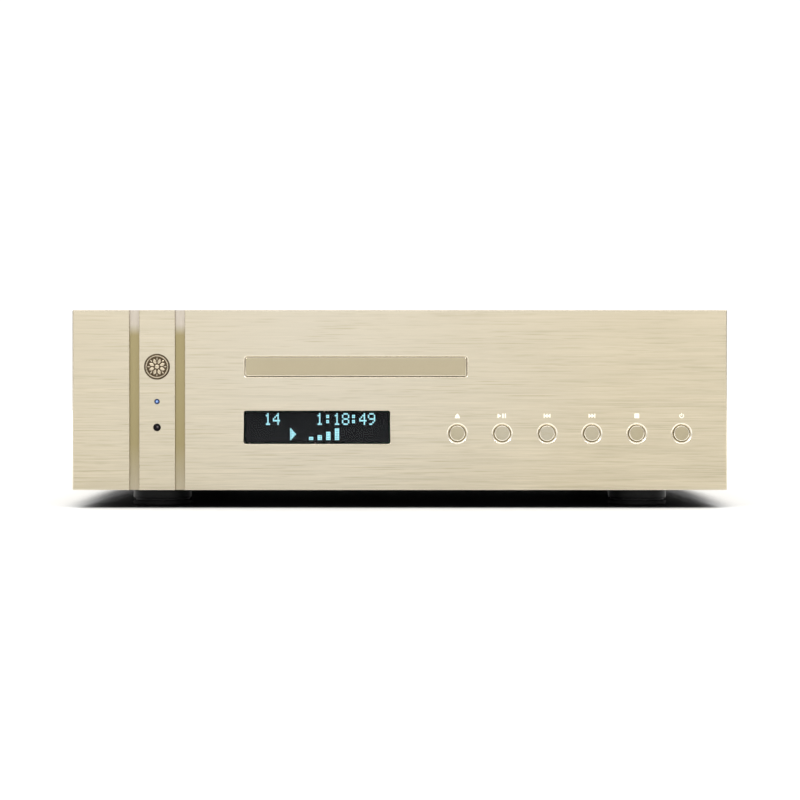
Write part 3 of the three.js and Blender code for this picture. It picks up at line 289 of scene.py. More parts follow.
def circuit_board(node, axis, way):
    """Green solder mask over copper tracks, and dark parts on the side that axis and way name. Parts that
    stand higher than CAN_HEIGHT have bright tops."""
    CAN_HEIGHT = 17
    look = Look(f"finish_{node}", (0.012, 0.10, 0.05), 0.0, 0.35)
    tracks = look.node("TexBrick", {
        "Vector": look.stretched((5, 5, 5)), "Color1": (0, 0, 0, 1), "Color2": (0.25, 0.25, 0.25, 1),
        "Mortar": (1, 1, 1, 1), "Scale": 1.0, "Mortar Size": 0.05, "Brick Width": 1.7, "Row Height": 0.45})
    cells = look.node("TexVoronoi", {"Vector": look.stretched((4, 4, 4)), "Scale": 1.0},
                        distance="CHEBYCHEV")
    look.paint((0.03, 0.22, 0.10), tracks.outputs["Color"])
    look.paint((0.62, 0.60, 0.52), cells.outputs["Distance"], 1, 0, 0.12, 0.16)
    face, height = board_face(node, axis, way), look.along(axis)
    look.paint((0.018, 0.018, 0.022), height, 0, 1, (face + way * 0.25) * MM, (face + way * 0.3) * MM)
    facing = look.along(axis, look.node("NewGeometry").outputs["Normal"])
    outwards = look.remap(facing, 0, 1, way * 0.9, way * 0.95)
    tall = look.remap(height, 0, 1, (face + way * CAN_HEIGHT) * MM, (face + way * (CAN_HEIGHT + 0.2)) * MM)
    look.paint((0.45, 0.46, 0.47), look.calc("MULTIPLY", outwards, tall))
    return look.bump(tracks.outputs["Color"], 0.03).material


def wound_wire():
    """Varnished wire wound round a ring, under clear tape."""
    TURNS = 170
    look = Look("winding", (0.42, 0.16, 0.05), 0.4, 0.35, Coat_Weight=0.5)
    at = centre("toroidal_transformer") * MM
    x, y = (look.calc("SUBTRACT", look.along(axis), at[axis]) for axis in (0, 1))
    turns = look.calc("MULTIPLY", look.calc("ARCTAN2", y, x), TURNS)
    wire = look.remap(look.calc("SINE", turns), 0, 1, -1, 1)
    return look.paint((0.75, 0.34, 0.11), wire).bump(wire, 0.3).material


def groove_floor():
    """The milled floor of the panel's two channels: olive-gold, darker than the panel partly for its own
    finish and partly as painted shade in the channel, with painted light near its ends where light falls in.
    """
    colour, painted_light = (0.332, 0.279, 0.147), (0.555, 0.50, 0.44)
    look = Look("groove_floor", colour, 1.0, 0.4)
    height = look.along(2)
    top, bottom = PANEL_HIGH.z * MM, PANEL_LOW.z * MM
    # painted light at the channel's top and bottom ends
    look.paint(painted_light, height, 0, 0.95, top - 16.5 * MM, top - 9 * MM)
    look.paint(painted_light, height, 0.5, 0, bottom, bottom + 30 * MM)
    fine = look.noise((0.5, 0.5, 14))
    return look.paint(shade(colour, 0.9), fine, 0, 0.25).bump(fine, 0.002).material


def floor_paper():
    """Pale studio paper that brightens into the background far away, with a painted contact shadow that
    spreads sideways towards the rear of the player."""
    look = Look("floor_paper", (0.86, 0.86, 0.855), 0.0, 0.7, Emission_Color=(1, 1, 1, 1))
    fibre = look.noise((2.5, 2.5, 2.5), 4.0)
    look.paint((0.83, 0.83, 0.825), fibre, 0, 0.25)
    near = look.node("AmbientOcclusion", {"Distance": 30 * MM}, samples=16).outputs["AO"]
    side = PANEL_HIGH.x * MM
    beside = look.remap(look.calc("ABSOLUTE", look.along(0)), 0, 1, side - 15 * MM, side)
    rearward = look.remap(look.along(1), 0, 2.7, -170 * MM, 30 * MM)
    near = look.calc("POWER", near, look.calc("MULTIPLY_ADD", beside, rearward, 1.0))
    # painted shadow: dark where the ambient occlusion finds the player close by
    look.paint((0.005, 0.005, 0.005), near, 1, 0, 0.25, 0.74)
    look.feed("Emission Strength", look.distance((0, 0, 0)), 0, 1.0, 0.6, 2.6)
    return look.bump(fibre, 0.02).material


CHAMPAGNE = (0.562, 0.495, 0.368)
OLIVE = (0.430, 0.374, 0.258)
PALE_GOLD = (0.72, 0.65, 0.52)
CREAM = (1.0, 0.95, 0.80)

# the front panel gets a painted sheen at its upper middle, and painted shade towards its top
BRUSHED_X = brushed("brushed_gold", CHAMPAGNE, 2, 0.42, 34.0, contrast=0.15,
                    sheen=((-60, FACE_Y, PANEL_HIGH.z + 10), 210, 0.42))
PANEL_EDGE = satin("panel_edge", PALE_GOLD, 0.24)
POLISHED = satin("polished_gold", (0.93, 0.86, 0.72), 0.16, depth=0.001)
SATIN_GOLD = satin("satin_gold", shade(OLIVE, 0.93), 0.42)
BRIGHT_CAP = centre("button_previous")  # the caps near this one get a painted sheen, as if they caught more light
# painted sheen on the caps near BRIGHT_CAP, and painted shade towards the panel's top
SATIN_CAP = brushed("button_cap", shade(OLIVE, 0.90), 2, 0.15, 8.0, 0.4, 0.03, 0.002,
                    sheen=((BRIGHT_CAP.x - 10, FACE_Y, BRIGHT_CAP.z), 75, 0.3))
RIM_METAL = satin("pale_rim", (0.93, 0.87, 0.75), 0.27, depth=0.001)
# painted shade: the walls inside the panel's holes are darker than the panel
SHADED_HOLE_WALL = satin("hole_wall_painted_shade", (0.30, 0.25, 0.16), 0.45)
GROOVE = groove_floor()
# painted shade: the cover is a little darker than the sides, to tone down the lamps' bright reflection on it
CASE_TOP = brushed("case_gold", (0.50, 0.44, 0.325), 1, 0.45, 40.0, 0.42, 0.08)
CASE_SIDE = brushed("case_gold_side", (0.54, 0.475, 0.35), 2, 0.45, 40.0, 0.42, 0.08)
BRONZE = satin("bronze", (0.085, 0.062, 0.038), 0.38, 0.6, 0.02)
RELIEF = satin("bronze_relief", (0.54, 0.46, 0.335), 0.26, 0.8, 0.01)
RUBBER = moulded("rubber", (0.006, 0.006, 0.006), 0.62, 0.4, specular=0.3)
FOOT_SHELL = moulded("foot_shell", (0.005, 0.005, 0.0055), 0.36, 0.6, 0.004, specular=0.22)
BLACK_PLASTIC = moulded("black_plastic", (0.012, 0.012, 0.013), 0.46, specular=0.35)
GREY_PLASTIC = moulded("grey_plastic", (0.08, 0.085, 0.09), 0.5)
WHITE_PLASTIC = moulded("white_plastic", (0.72, 0.69, 0.60), 0.42, 0.6, 0.005, Subsurface_Weight=0.15)
RED_PLASTIC = moulded("red_plastic", (0.52, 0.02, 0.02), 0.4, 0.6, 0.004)
ORANGE_PLASTIC = moulded("orange_plastic", (0.75, 0.25, 0.02), 0.4, 0.6, 0.004)
TRAY_PLASTIC = moulded("tray_plastic", (0.011, 0.011, 0.012), 0.48, 0.7, 0.02, specular=0.35)
# painted highlight on the remote eye, up and to the right of its middle
EYE_GLINT = centre("ir_lens") + Vector((0.35, 0, 0.3))
DARK_GLASS = glossy("dark_glass", (0.003, 0.002, 0.003), specular=0.09,
                    spot=((EYE_GLINT.x, FACE_Y, EYE_GLINT.z), 0.95, (0.16, 0.13, 0.14)))
TUBE_GLASS = glossy("tube_glass", (0.006, 0.0065, 0.008), specular=0.1)
CLEAR_LENS = glossy("clear_lens", (0.35, 0.42, 0.60), Transmission_Weight=0.8)
PANE = smoked_pane()
PHOSPHOR = glowing_dots()
STEEL = satin("steel", (0.56, 0.57, 0.58), 0.32, 0.9, 0.006)
DARK_STEEL = satin("dark_steel", (0.10, 0.10, 0.11), 0.35, 0.5)
BLACK_STEEL = moulded("black_steel", (0.010, 0.010, 0.011), 0.44, 0.45, 0.03, specular=0.3)
GOLD_PLATE = satin("gold_plate", (0.88, 0.62, 0.22), 0.2, 1.2, 0.002)
WINDING = wound_wire()
# painted light: the cream print glows a little, though no lamp is behind it
GLOWING_PRINT = moulded("print_cream", CREAM, 0.5, 0.3, 0.002, Emission_Color=(*CREAM, 1),
                      Emission_Strength=0.2)
PRINT_GREY = moulded("print_grey", (0.55, 0.55, 0.54), 0.55, 0.3, 0.002)
PAPER = floor_paper()
LED_MIDDLE = centre("led_lens")
BLUE_LENS = lit("blue_lens", (0.34, 0.55, 1.0), (0.010, 0.03, 0.13), 0.45,
                (LED_MIDDLE.x, FACE_Y, LED_MIDDLE.z), 1.1)


# --- meshes

MERGE = 1e-6  # metres; points closer than this are one
SLIVER = 1e-13  # square metres; a smaller face is dissolved
SMOOTH_ANGLE = 20  # degrees; faces that meet at more are shaded with a sharp edge


def points(place, outline, w):
    return [Vector(place(u, v, w)) * MM for u, v in outline]


def solid(rings, bands, caps=None, closed=False):
    """A solid through rings with equal numbers of points. Each band between two rings has a material, and so
    has each end. In a closed solid the last ring joins the first, and there are no ends."""
    first, last = caps or (bands[0], bands[-1])
    materials = list(dict.fromkeys([*bands, first, last]))
    shape = bmesh.new()
    loops = [[shape.verts.new(p) for p in ring] for ring in rings]
    count = len(loops[0])
    if closed:
        loops.append(loops[0])
    for below, above, material in zip(loops, loops[1:], bands):
        for i in range(count):
            j = (i + 1) % count
            face = shape.faces.new((below[i], below[j], above[j], above[i]))
            face.material_index = materials.index(material)
    for loop, material in () if closed else ((loops[0], first), (loops[-1], last)):
        shape.faces.new(loop).material_index = materials.index(material)
    bmesh.ops.recalc_face_normals(shape, faces=shape.faces)
    mesh = bpy.data.meshes.new("solid")
    shape.to_mesh(mesh)
    shape.free()
    for material in materials:
        mesh.materials.append(material)
    return linked(mesh)


def linked(mesh):
    made = bpy.data.objects.new(mesh.name, mesh)
    bpy.context.scene.collection.objects.link(made)
    return made


def circle(radius, sides, at=(0, 0)):
    angles = [2 * math.pi * i / sides for i in range(sides)]
    return [(at[0] + radius * math.cos(a), at[1] + radius * math.sin(a)) for a in angles]


def rounded(middle, size, corner, inset=0.0, steps=5):
    """A rectangle with round corners, moved inwards by inset. Its point count doesn't depend on the sizes."""
    half = [size[0] / 2 - inset, size[1] / 2 - inset]
    radius = min(max(corner - inset, 0.02), *half)
    outline = []
    for quarter, (sx, sy) in enumerate(((1, 1), (-1, 1), (-1, -1), (1, -1))):
        for step in range(steps + 1):
            a = (quarter + step / steps) * math.pi / 2
            outline.append((middle[0] + sx * (half[0] - radius) + radius * math.cos(a),
                            middle[1] + sy * (half[1] - radius) + radius * math.sin(a)))
    return outline


def inset_polygon(corners, inset):
    """A polygon given anticlockwise, moved inwards by inset."""
    out = []
    for i, here in enumerate(corners):
        here, before, after = Vector(here), Vector(corners[i - 1]), Vector(corners[(i + 1) % len(corners)])
        a, b = (here - before).normalized(), (after - here).normalized()
        na, nb = Vector((-a.y, a.x)), Vector((-b.y, b.x))
        out.append(tuple(here + (na + nb) * (inset / (1 + na.dot(nb)))))
    return out


def lathe(profile, bands, place=upright, at=(0, 0), sides=48, caps=None):
    """A turned solid. profile: [(radius, w), ...] from one end to the other; at: the axis's place; bands: a
    material for each step of the profile, or one for all."""
    bands = bands if isinstance(bands, list) else [bands] * (len(profile) - 1)
    return solid([points(place, circle(r, sides, at), w) for r, w in profile], bands, caps)


def prism(outline, stations, bands, place=upright, caps=None):
    """A solid with one outline along w. outline(inset) gives it; stations: [(w, inset), ...]."""
    bands = bands if isinstance(bands, list) else [bands] * (len(stations) - 1)
    return solid([points(place, outline(inset), w) for w, inset in stations], bands, caps)


def eased(ends, edge):
    """Stations from one end to the other, with the end edges rounded off: [(w, inset), ...]."""
    w0, w1 = ends
    soft = edge * 0.3
    return [(w0, edge), (w0 + soft, soft), (w0 + edge, 0), (w1 - edge, 0), (w1 - soft, soft), (w1, edge)]


def tile(middle, size, corner, stations, bands, place=upright, steps=5, caps=None):
    """A rounded rectangle through stations."""
    return prism(lambda inset: rounded(middle, size, corner, inset, steps), stations, bands, place, caps)


def slab(middle, size, corner, ends, material, place=upright, edge=0.3, steps=4):
    """A rounded rectangle between two values of w, with its end edges rounded off by edge."""
    return tile(middle, size, corner, eased(ends, edge), material, place, steps)


def plate(node, corner, ends, material, place=upright, axes=(0, 1), edge=0.4):
    """A rounded rectangle as large as a CAD node, seen along the axis that isn't among axes."""
    middle, extent = centre(node), span(node)
    return slab([middle[a] for a in axes], [extent[a] for a in axes], corner, ends, material, place, edge)


def block(box_low, box_high, material, edge=0.3):
    """A box with rounded edges."""
    middle = [(a + b) / 2 for a, b in zip(box_low, box_high)]
    size = [b - a for a, b in zip(box_low, box_high)]
    return slab(middle[:2], size[:2], edge, (box_low[2], box_high[2]), material, edge=edge, steps=2)


def pole(radius, ends, material, place=upright, at=(0, 0), edge=0.3, sides=32):
    return lathe([(radius - inset, w) for w, inset in eased(ends, edge)], material, place, at, sides)


def bake(made):
    """Turns modifiers into mesh."""
    depsgraph = bpy.context.evaluated_depsgraph_get()
    mesh = bpy.data.meshes.new_from_object(made.evaluated_get(depsgraph), depsgraph=depsgraph)
    made.modifiers.clear()
    made.data = mesh
    shape = bmesh.new()
    shape.from_mesh(mesh)
    bmesh.ops.remove_doubles(shape, verts=shape.verts, dist=MERGE)
    bmesh.ops.dissolve_degenerate(shape, edges=shape.edges, dist=MERGE)
    slivers = [face for face in shape.faces if face.calc_area() < SLIVER]
    longest = {max(face.edges, key=lambda edge: edge.calc_length()) for face in slivers}
    bmesh.ops.dissolve_edges(shape, edges=list(longest))
    shape.to_mesh(mesh)
    shape.free()
    return made


def together(parts):
    """Puts solids that don't touch into one object."""
    first, *others = parts
    if others:
        with bpy.context.temp_override(active_object=first, selected_editable_objects=list(parts)):
            bpy.ops.object.join()
    return first


def boolean(operation, target, tools):
    for tool in tools:
        modifier = target.modifiers.new(operation, "BOOLEAN")
        modifier.operation, modifier.solver, modifier.object = operation, "EXACT", tool
        modifier.material_mode = "TRANSFER"
        bake(target)
        bpy.data.objects.remove(tool)
    return target


def carve(target, *tools):
    return boolean("DIFFERENCE", target, tools)


def fuse(target, *tools):
    return boolean("UNION", target, tools)


def bevelled(made, width, segments, angle):
    """Rounds off every edge that turns by more than angle degrees, with a modifier."""
    modifier = made.modifiers.new("edges", "BEVEL")
    modifier.width, modifier.segments, modifier.limit_method = width * MM, segments, "ANGLE"
    modifier.angle_limit = math.radians(angle)
    return made


def welded(made, distance):
    made.modifiers.new("weld", "WELD").merge_threshold = distance
    return made


def without_custom_normals(mesh):
    if mesh.has_custom_normals:
        mesh.attributes.remove(mesh.attributes["custom_normal"])
    return mesh


def from_node(node, material):
    """A new solid with a CAD node's own shape."""
    mesh = without_custom_normals(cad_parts[node].data.copy())
    mesh.materials.clear()
    mesh.materials.append(material)
    return bake(linked(mesh))


def slot_of(node):
    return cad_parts[node].data.materials[0].name.split(".")[0]


def piece(made, name, replaces=None, body="chassis", slot=None, smooth=SMOOTH_ANGLE):
    """Names a finished mesh, shades it smooth with sharp edges by angle, and hangs it on its body. It hides
    the
    CAD node that it replaces.
    """
    made.name = made.data.name = name
    made.data.polygons.foreach_set("use_smooth", [True] * len(made.data.polygons))
    made.data.set_sharp_from_angle(angle=math.radians(smooth))
    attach(made, body)
    if replaces:
        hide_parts(replaces)
        slot = slot_of(replaces)


SCREW_SIDES = 24


def hexagon(at, across):
    """A hexagon with as many points as a screw's rings. across: from its middle to the middle of a side."""
    sixth = math.pi / 3
    angles = [2 * math.pi * i / SCREW_SIDES for i in range(SCREW_SIDES)]
    reach = [across / math.cos((a + sixth / 2) % sixth - sixth / 2) for a in angles]
    return [(at[0] + r * math.cos(a), at[1] + r * math.sin(a)) for a, r in zip(angles, reach)]


def socket_screw(at, place, rings, hexes):
    """A screw head from its underside to its face, rings: [(radius, w), ...], and down into its hexagonal
    socket, hexes: [(across, w), ...]."""
    outlines = [points(place, circle(radius, SCREW_SIDES, at), w) for radius, w in rings]
    outlines += [points(place, hexagon(at, across), w) for across, w in hexes]
    return solid(outlines, [DARK_STEEL] * (len(outlines) - 1))


def round_screw(at, place, top, radius, head):
    """A screw head with a rounded edge. top: w of its face; the head reaches head below it."""
    rings = [(radius - 0.3, top - head), (radius, top - 0.35), (radius - 0.12, top - 0.1),
             (radius - 0.35, top)]
    hexes = [(radius * 0.5, top), (radius * 0.47, top - 0.2), (radius * 0.47, top - head * 0.7)]
    return socket_screw(at, place, rings, hexes)


# --- front panel

panel_middle = (centre("front_panel").x, centre("front_panel").z)
panel_size = (span("front_panel").x, span("front_panel").z)
thickness = span("front_panel").y
badge, led, eye, door, window = map(centre, ("badge", "led_lens", "ir_lens", "tray_door", "display_window"))
badge_at, window_at = (badge.x, badge.z), (window.x, window.z)
door_size = span("tray_door")
WINDOW_RIM = 7  # the window's flange is wider and higher than its opening by this
opening = (span("display_window").x - WINDOW_RIM, span("display_window").z - WINDOW_RIM)
DOOR_GAP = 0.25
slot_size = (door_size.x + 2 * DOOR_GAP, door_size.z + 2.4 * DOOR_GAP)
slot_middle = (door.x, door.z - 0.2 * DOOR_GAP)
BUTTONS = ("eject", "play_pause", "previous", "next", "stop", "power")
button_at = {name: centre(f"button_{name}") for name in BUTTONS}
CAP, HOLE, COUNTERSINK = 5.1, 5.5, 6.8
BADGE_RADIUS, LED_RADIUS, EYE_RADIUS = 8.2, 1.5, 2.25
through = thickness + 1

panel = tile(
    panel_middle, panel_size, 0.7, [(0, 0.7), (0.3, 0.05), (0.7, 0), (thickness - 0.3, 0), (thickness, 0.3)],
    [PANEL_EDGE, PANEL_EDGE, BRUSHED_X, PANEL_EDGE], on_front, 3, (BRUSHED_X, BRUSHED_X))

GROOVE_WIDTH, GROOVE_DEPTH, GROOVE_OFFSET = 6.4, 3.2, 15
groove_size = (GROOVE_WIDTH, panel_size[1] + 20)
grooves = [tile(
    (badge.x + s * GROOVE_OFFSET, panel_middle[1]), groove_size, 0.05,
    [(-0.5, -0.75), (0.25, 0), (GROOVE_DEPTH - 0.4, 0), (GROOVE_DEPTH - 0.1, 0.12), (GROOVE_DEPTH, 0.4)],
    [PANEL_EDGE, PANEL_EDGE, GROOVE, GROOVE], on_front, 2) for s in (-1, 1)]
holes = [
    tile(slot_middle, slot_size, 1.4, [(-0.4, -1.75), (0.42, -0.12), (0.6, 0), (through, 0)],
         [RIM_METAL, RIM_METAL, SATIN_GOLD], on_front),
    tile(window_at, opening, 1.4, [(-0.5, -0.7), (0.2, 0), (through, 0)], [POLISHED, SHADED_HOLE_WALL], on_front)]
holes += [lathe([(COUNTERSINK + 0.8, -0.35), (COUNTERSINK - 0.1, 0.08), (COUNTERSINK - 0.6, 0.36),
                 (HOLE + 0.15, 0.72), (HOLE - 0.1, 1.0), (HOLE - 0.1, through)],
                [RIM_METAL] * 4 + [SHADED_HOLE_WALL], on_front, (at.x, at.z), 64) for at in button_at.values()]
for at, radius, depth, sides in ((badge, BADGE_RADIUS, 1.2, 72), (led, LED_RADIUS, through, 40),
                                 (eye, EYE_RADIUS, through, 40)):
    holes.append(lathe([(radius + 0.6, -0.3), (radius + 0.2, 0.1), (radius + 0.2, depth)],
                       [POLISHED, SHADED_HOLE_WALL], on_front, (at.x, at.z), sides))
carve(panel, together(grooves), together(holes))
piece(panel, "panel_face", "front_panel")


# --- badge, light and remote eye

def petal(angle, inner, outer, half_width, height):
    """A leaf of the rosette: a lens-shaped ridge from inner to outer along one radius."""
    along, aside = Vector((math.cos(angle), math.sin(angle))), Vector((-math.sin(angle), math.cos(angle)))
    STEPS = 7

    def outline(share):
        side = []
        for i in range(STEPS + 1):
            t = i / STEPS
            r = inner + (outer - inner) * (0.5 + (t - 0.5) * (1 - share * 0.3))
            side.append((r, half_width * math.sin(math.pi * (0.04 + 0.92 * t)) * (1 - share)))
        loop = side + [(r, -h) for r, h in reversed(side)]
        return [Vector(badge_at) + along * r + aside * h for r, h in loop]
    return solid([points(on_front, outline(share), -0.1 - height * rise)
                  for share, rise in ((0, -0.1), (0, 0.35), (0.3, 0.8), (0.72, 1.0))], [RELIEF] * 3)


badge_base = lathe(
    [(BADGE_RADIUS - inset, w) for inset, w in
     ((0, 1.05), (0, 0.0), (0.15, -0.3), (0.45, -0.4), (0.75, -0.4), (0.9, -0.56), (1.2, -0.56), (1.4, -0.4),
      (1.5, -0.12))], [BRONZE] * 4 + [RELIEF] * 3 + [BRONZE], on_front, badge_at, 72)
piece(badge_base, "badge_disc", "badge")
PETALS = 8
rosette = [petal(2 * math.pi * (i + 0.5) / PETALS, 1.9, 5.6, 1.05, 0.42) for i in range(PETALS)]
rosette += [petal(2 * math.pi * i / PETALS, 4.3, 6.5, 0.42, 0.3) for i in range(PETALS)]
rosette.append(lathe([(1.35, -0.05), (1.3, -0.4), (0.9, -0.52), (0.3, -0.56)], RELIEF, on_front, badge_at,
                     32))
piece(together(rosette), "badge_rosette", slot="bronze")


def front_lens(node, radius, dome, material):
    """A lens with a flange behind the panel. dome: [(share of the radius, w), ...] from its edge inwards."""
    at, back = centre(node), depths(node, FACE_Y)[1]
    profile = [(radius + 0.9, back), (radius + 0.9, thickness + 0.1), (radius, thickness + 0.1)]
    return lathe(profile + [(radius * share, w) for share, w in dome], material, on_front, (at.x, at.z), 40)


led_dome = [(1, 0.35), (0.94, 0.02), (0.78, -0.2), (0.5, -0.38), (0.2, -0.46)]
piece(front_lens("led_lens", LED_RADIUS, led_dome, BLUE_LENS), "led_dome", "led_lens")
eye_dome = [(1, 0.5), (0.95, 0.15), (0.84, -0.12), (0.65, -0.33), (0.4, -0.45), (0.15, -0.5)]
piece(front_lens("ir_lens", EYE_RADIUS, eye_dome, DARK_GLASS), "remote_eye_dome", "ir_lens")


# --- display

pane_size = (opening[0] - 0.4, opening[1] - 0.4)
FLANGE_BACK = depths("display_window", FACE_Y)[1]
PANE_BACK, SCREEN_FRONT, SCREEN_BACK = 2.6, 3.0, 12.7
pane = slab(window_at, pane_size, 1.3, (0.5, thickness + 1), PANE, on_front, edge=0.25)
flange = plate("display_window", 2.0, (thickness + 0.1, FLANGE_BACK), PANE, on_front, (0, 2), 0.2)
hollow = slab(window_at, (pane_size[0] - 1.6, pane_size[1] - 1.6), 0.6, (PANE_BACK, FLANGE_BACK + 1), PANE,
              on_front, edge=0.1)
piece(carve(fuse(pane, flange), hollow), "display_pane", "display_window")
screen = slab(window_at, (pane_size[0] - 1.8, pane_size[1] - 1.8), 0.5, (SCREEN_FRONT, SCREEN_BACK),
              TUBE_GLASS, on_front)
piece(screen, "display_screen", slot="dark_glass")

# Characters are 5 dots wide and 7 high, one row of bits per string.
GLYPHS = {
    "1": "00100 01100 00100 00100 00100 00100 01110",
    "4": "00010 00110 01010 10010 11111 00010 00010",
    "8": "01110 10001 10001 01110 10001 10001 01110",
    "9": "01110 10001 10001 01111 00001 00010 01100",
    ":": "00000 01100 01100 00000 01100 01100 00000",
    ">": "10000 11000 11100 11110 11100 11000 10000",
}
for letter, bar_height in zip("abcd", (2, 3, 5, 7)):
    GLYPHS[letter] = "00000 " * (7 - bar_height) + "01110 " * bar_height
CELL, ROW_HEIGHT, DOT_PITCH, DOT = 5.68, 10.0, (0.98, 1.12), (0.84, 0.98)
first_cell, first_row = window.x - 7.5 * CELL - 1.1, window.z + 5.5


def dot(at):
    return tile(at, DOT, 0.12, [(SCREEN_FRONT + 0.1, 0), (SCREEN_FRONT - 0.08, 0)], PHOSPHOR, on_front, 1)


def character(letter, x, z):
    """A letter's dots, around its middle."""
    return [dot((x + (column - 2) * DOT_PITCH[0], z + (3 - line) * DOT_PITCH[1]))
            for line, bits in enumerate(GLYPHS.get(letter, "").split())
            for column, bit in enumerate(bits) if bit == "1"]


dots = []
for row, text in enumerate(("  14    1:18:49 ", "     > abcd     ")):
    for cell, letter in enumerate(text):
        dots += character(letter, first_cell + cell * CELL, first_row - row * ROW_HEIGHT)
piece(together(dots), "display_dots", slot="dark_glass")


# --- buttons and their symbols

STEM, CAP_BACK = 2.0, 11.9
cap_face, stem_end = depths("button_stop", FACE_Y)
for name, at in button_at.items():
    cap = lathe(
        [(STEM - 0.15, stem_end), (STEM, stem_end - 0.2), (STEM, CAP_BACK), (COUNTERSINK - 0.2, CAP_BACK),
         (COUNTERSINK, CAP_BACK - 0.2), (COUNTERSINK, CAP_BACK - 1.5), (CAP, CAP_BACK - 1.5),
         (CAP, cap_face + 0.45), (CAP - 0.1, cap_face + 0.16), (CAP - 0.3, cap_face + 0.02),
         (CAP - 0.5, cap_face)],
        [SATIN_GOLD] * 7 + [POLISHED] * 3, on_front, (at.x, at.z), 64, (SATIN_GOLD, SATIN_CAP))
    piece(cap, f"cap_{name}", f"button_{name}", f"{name}_button")


def triangle(u, width, height, way=1):
    return [(u - way * width / 2, -height / 2), (u + way * width / 2, 0), (u - way * width / 2, height / 2)]


def bar(u, width, height, v=0):
    half, rise = width / 2, height / 2
    return [(u - half, v - rise), (u + half, v - rise), (u + half, v + rise), (u - half, v + rise)]


SWEEP = [math.radians(degrees) for degrees in range(130, 411, 20)]
open_ring = [(r * math.cos(a), r * math.sin(a))
             for r, angles in ((1.75, SWEEP), (1.2, SWEEP[::-1])) for a in angles]
SYMBOLS = {
    "eject": [[(-1.85, -0.55), (1.85, -0.55), (0, 1.75)], bar(0, 3.7, 0.8, -1.35)],
    "play_pause": [triangle(-1.85, 2.3, 3.0), bar(0.5, 0.75, 3.0), bar(2.1, 0.75, 3.0)],
    "previous": [bar(-2.2, 0.6, 3.3), triangle(-0.75, 2.1, 3.3, -1), triangle(1.45, 2.1, 3.3, -1)],
    "next": [triangle(-1.45, 2.1, 3.3), triangle(0.75, 2.1, 3.3), bar(2.2, 0.6, 3.3)],
    "stop": [bar(0, 3.5, 3.5)],
    "power": [open_ring, bar(0, 0.54, 2.0, 1.1)],
}
SYMBOL_RISE = 11.5  # the symbols' height above their buttons
SYMBOL_SCALE = dict.fromkeys(BUTTONS, 0.87) | {"play_pause": 1.0}


def symbol(corners, at, scale):
    outline = [(at.x + u * scale, at.z + SYMBOL_RISE + v * scale) for u, v in corners]
    return prism(lambda _: outline, [(0.02, 0), (-0.03, 0)], GLOWING_PRINT, on_front)


symbols = [symbol(corners, at, SYMBOL_SCALE[name])
           for name, at in button_at.items() for corners in SYMBOLS[name]]
piece(together(symbols), "button_symbols")


# --- case

cover_low, cover_high = low("top_cover"), high("top_cover")
cover_bottom = high("side_panel_left").z + 0.1
# Rows of slots: (from x, to x), first y, how many, pitch, width.
COVER_VENTS = [((66, 190), -30, 8, 14, 5), ((-190, -66), 54, 6, 14, 5)]
BASE_VENTS = [((80, 180), 0, 5, 18, 6), ((-190, -90), 60, 3, 18, 6)]
VENT_FLARE = 0.4


def vent_cutters(rows, z0, z1, side, rim):
    """Slots through a plate between z0 and z1, with a small chamfer at the top."""
    cutters = []
    for (x0, x1), y, count, pitch, width in rows:
        for i in range(count):
            cutters.append(tile(
                ((x0 + x1) / 2, y + i * pitch), (x1 - x0, width), width / 2,
                [(z0 - 1, 0), (z1 - VENT_FLARE, 0), (z1 + 1, -VENT_FLARE - 1)], [side, rim], steps=6))
    return together(cutters)


cover = plate("top_cover", 1.2, (cover_bottom, cover_high.z), CASE_TOP, edge=0.8)
LIP_X = 208.5
lips = [block((x - 1, cover_low.y + 6, cover_bottom - 9), (x + 1, cover_high.y - 8, cover_bottom + 0.4),
              CASE_TOP) for x in (-LIP_X, LIP_X)]
COVER_SCREWS = [(s * 203, y) for s in (-1, 1) for y in (cover_low.y + 12, -8, cover_high.y - 12)]
COVER_TOP = cover_high.z
screw_seats = [lathe(
    [(2.0, cover_bottom - 1), (2.0, COVER_TOP - 1.6), (3.3, COVER_TOP - 1.5), (3.3, COVER_TOP - 0.25),
     (4.2, COVER_TOP + 0.5)], [CASE_TOP] * 3 + [POLISHED], at=at, sides=40) for at in COVER_SCREWS]
carve(fuse(cover, *lips), vent_cutters(COVER_VENTS, cover_bottom, COVER_TOP, CASE_TOP, PANEL_EDGE),
      together(screw_seats))
piece(cover, "cover_plate", "top_cover")
cover_screws = [round_screw(at, upright, COVER_TOP - 0.25, 3.0, 1.3) for at in COVER_SCREWS]
piece(together(cover_screws), "cover_screws")

for name, s in (("left", -1), ("right", 1)):
    node = f"side_panel_{name}"
    side_low, side_high = low(node), high(node)
    inner, outer = (side_high.x, side_low.x) if s < 0 else (side_low.x, side_high.x)
    side_plate = plate(node, 0.8, (side_low.x, side_high.x), CASE_SIDE, sideways, (1, 2), 0.45)
    seats, screws = [], []
    for y in (side_low.y + 14, centre(node).y, side_high.y - 14):
        for z in (side_low.z + 7, side_high.z - 9):
            seat = [(r, outer - s * w) for r, w in ((4.4, -0.7), (3.3, 0.2), (3.3, 1.4), (2.0, 1.5))]
            seats.append(lathe(seat + [(2.0, inner - s)], [POLISHED] + [CASE_SIDE] * 3, sideways, (y, z), 40))
            rings = [(r, outer - s * w) for r, w in ((2.7, 1.5), (3.0, 0.5), (2.9, 0.3), (2.65, 0.25))]
            hexes = [(1.45, outer - s * w) for w in (0.25, 1.2)]
            screws.append(socket_screw((y, z), sideways, rings, hexes))
    carve(side_plate, together(seats))
    piece(side_plate, f"side_plate_{name}", node)
    piece(together(screws), f"side_screws_{name}")

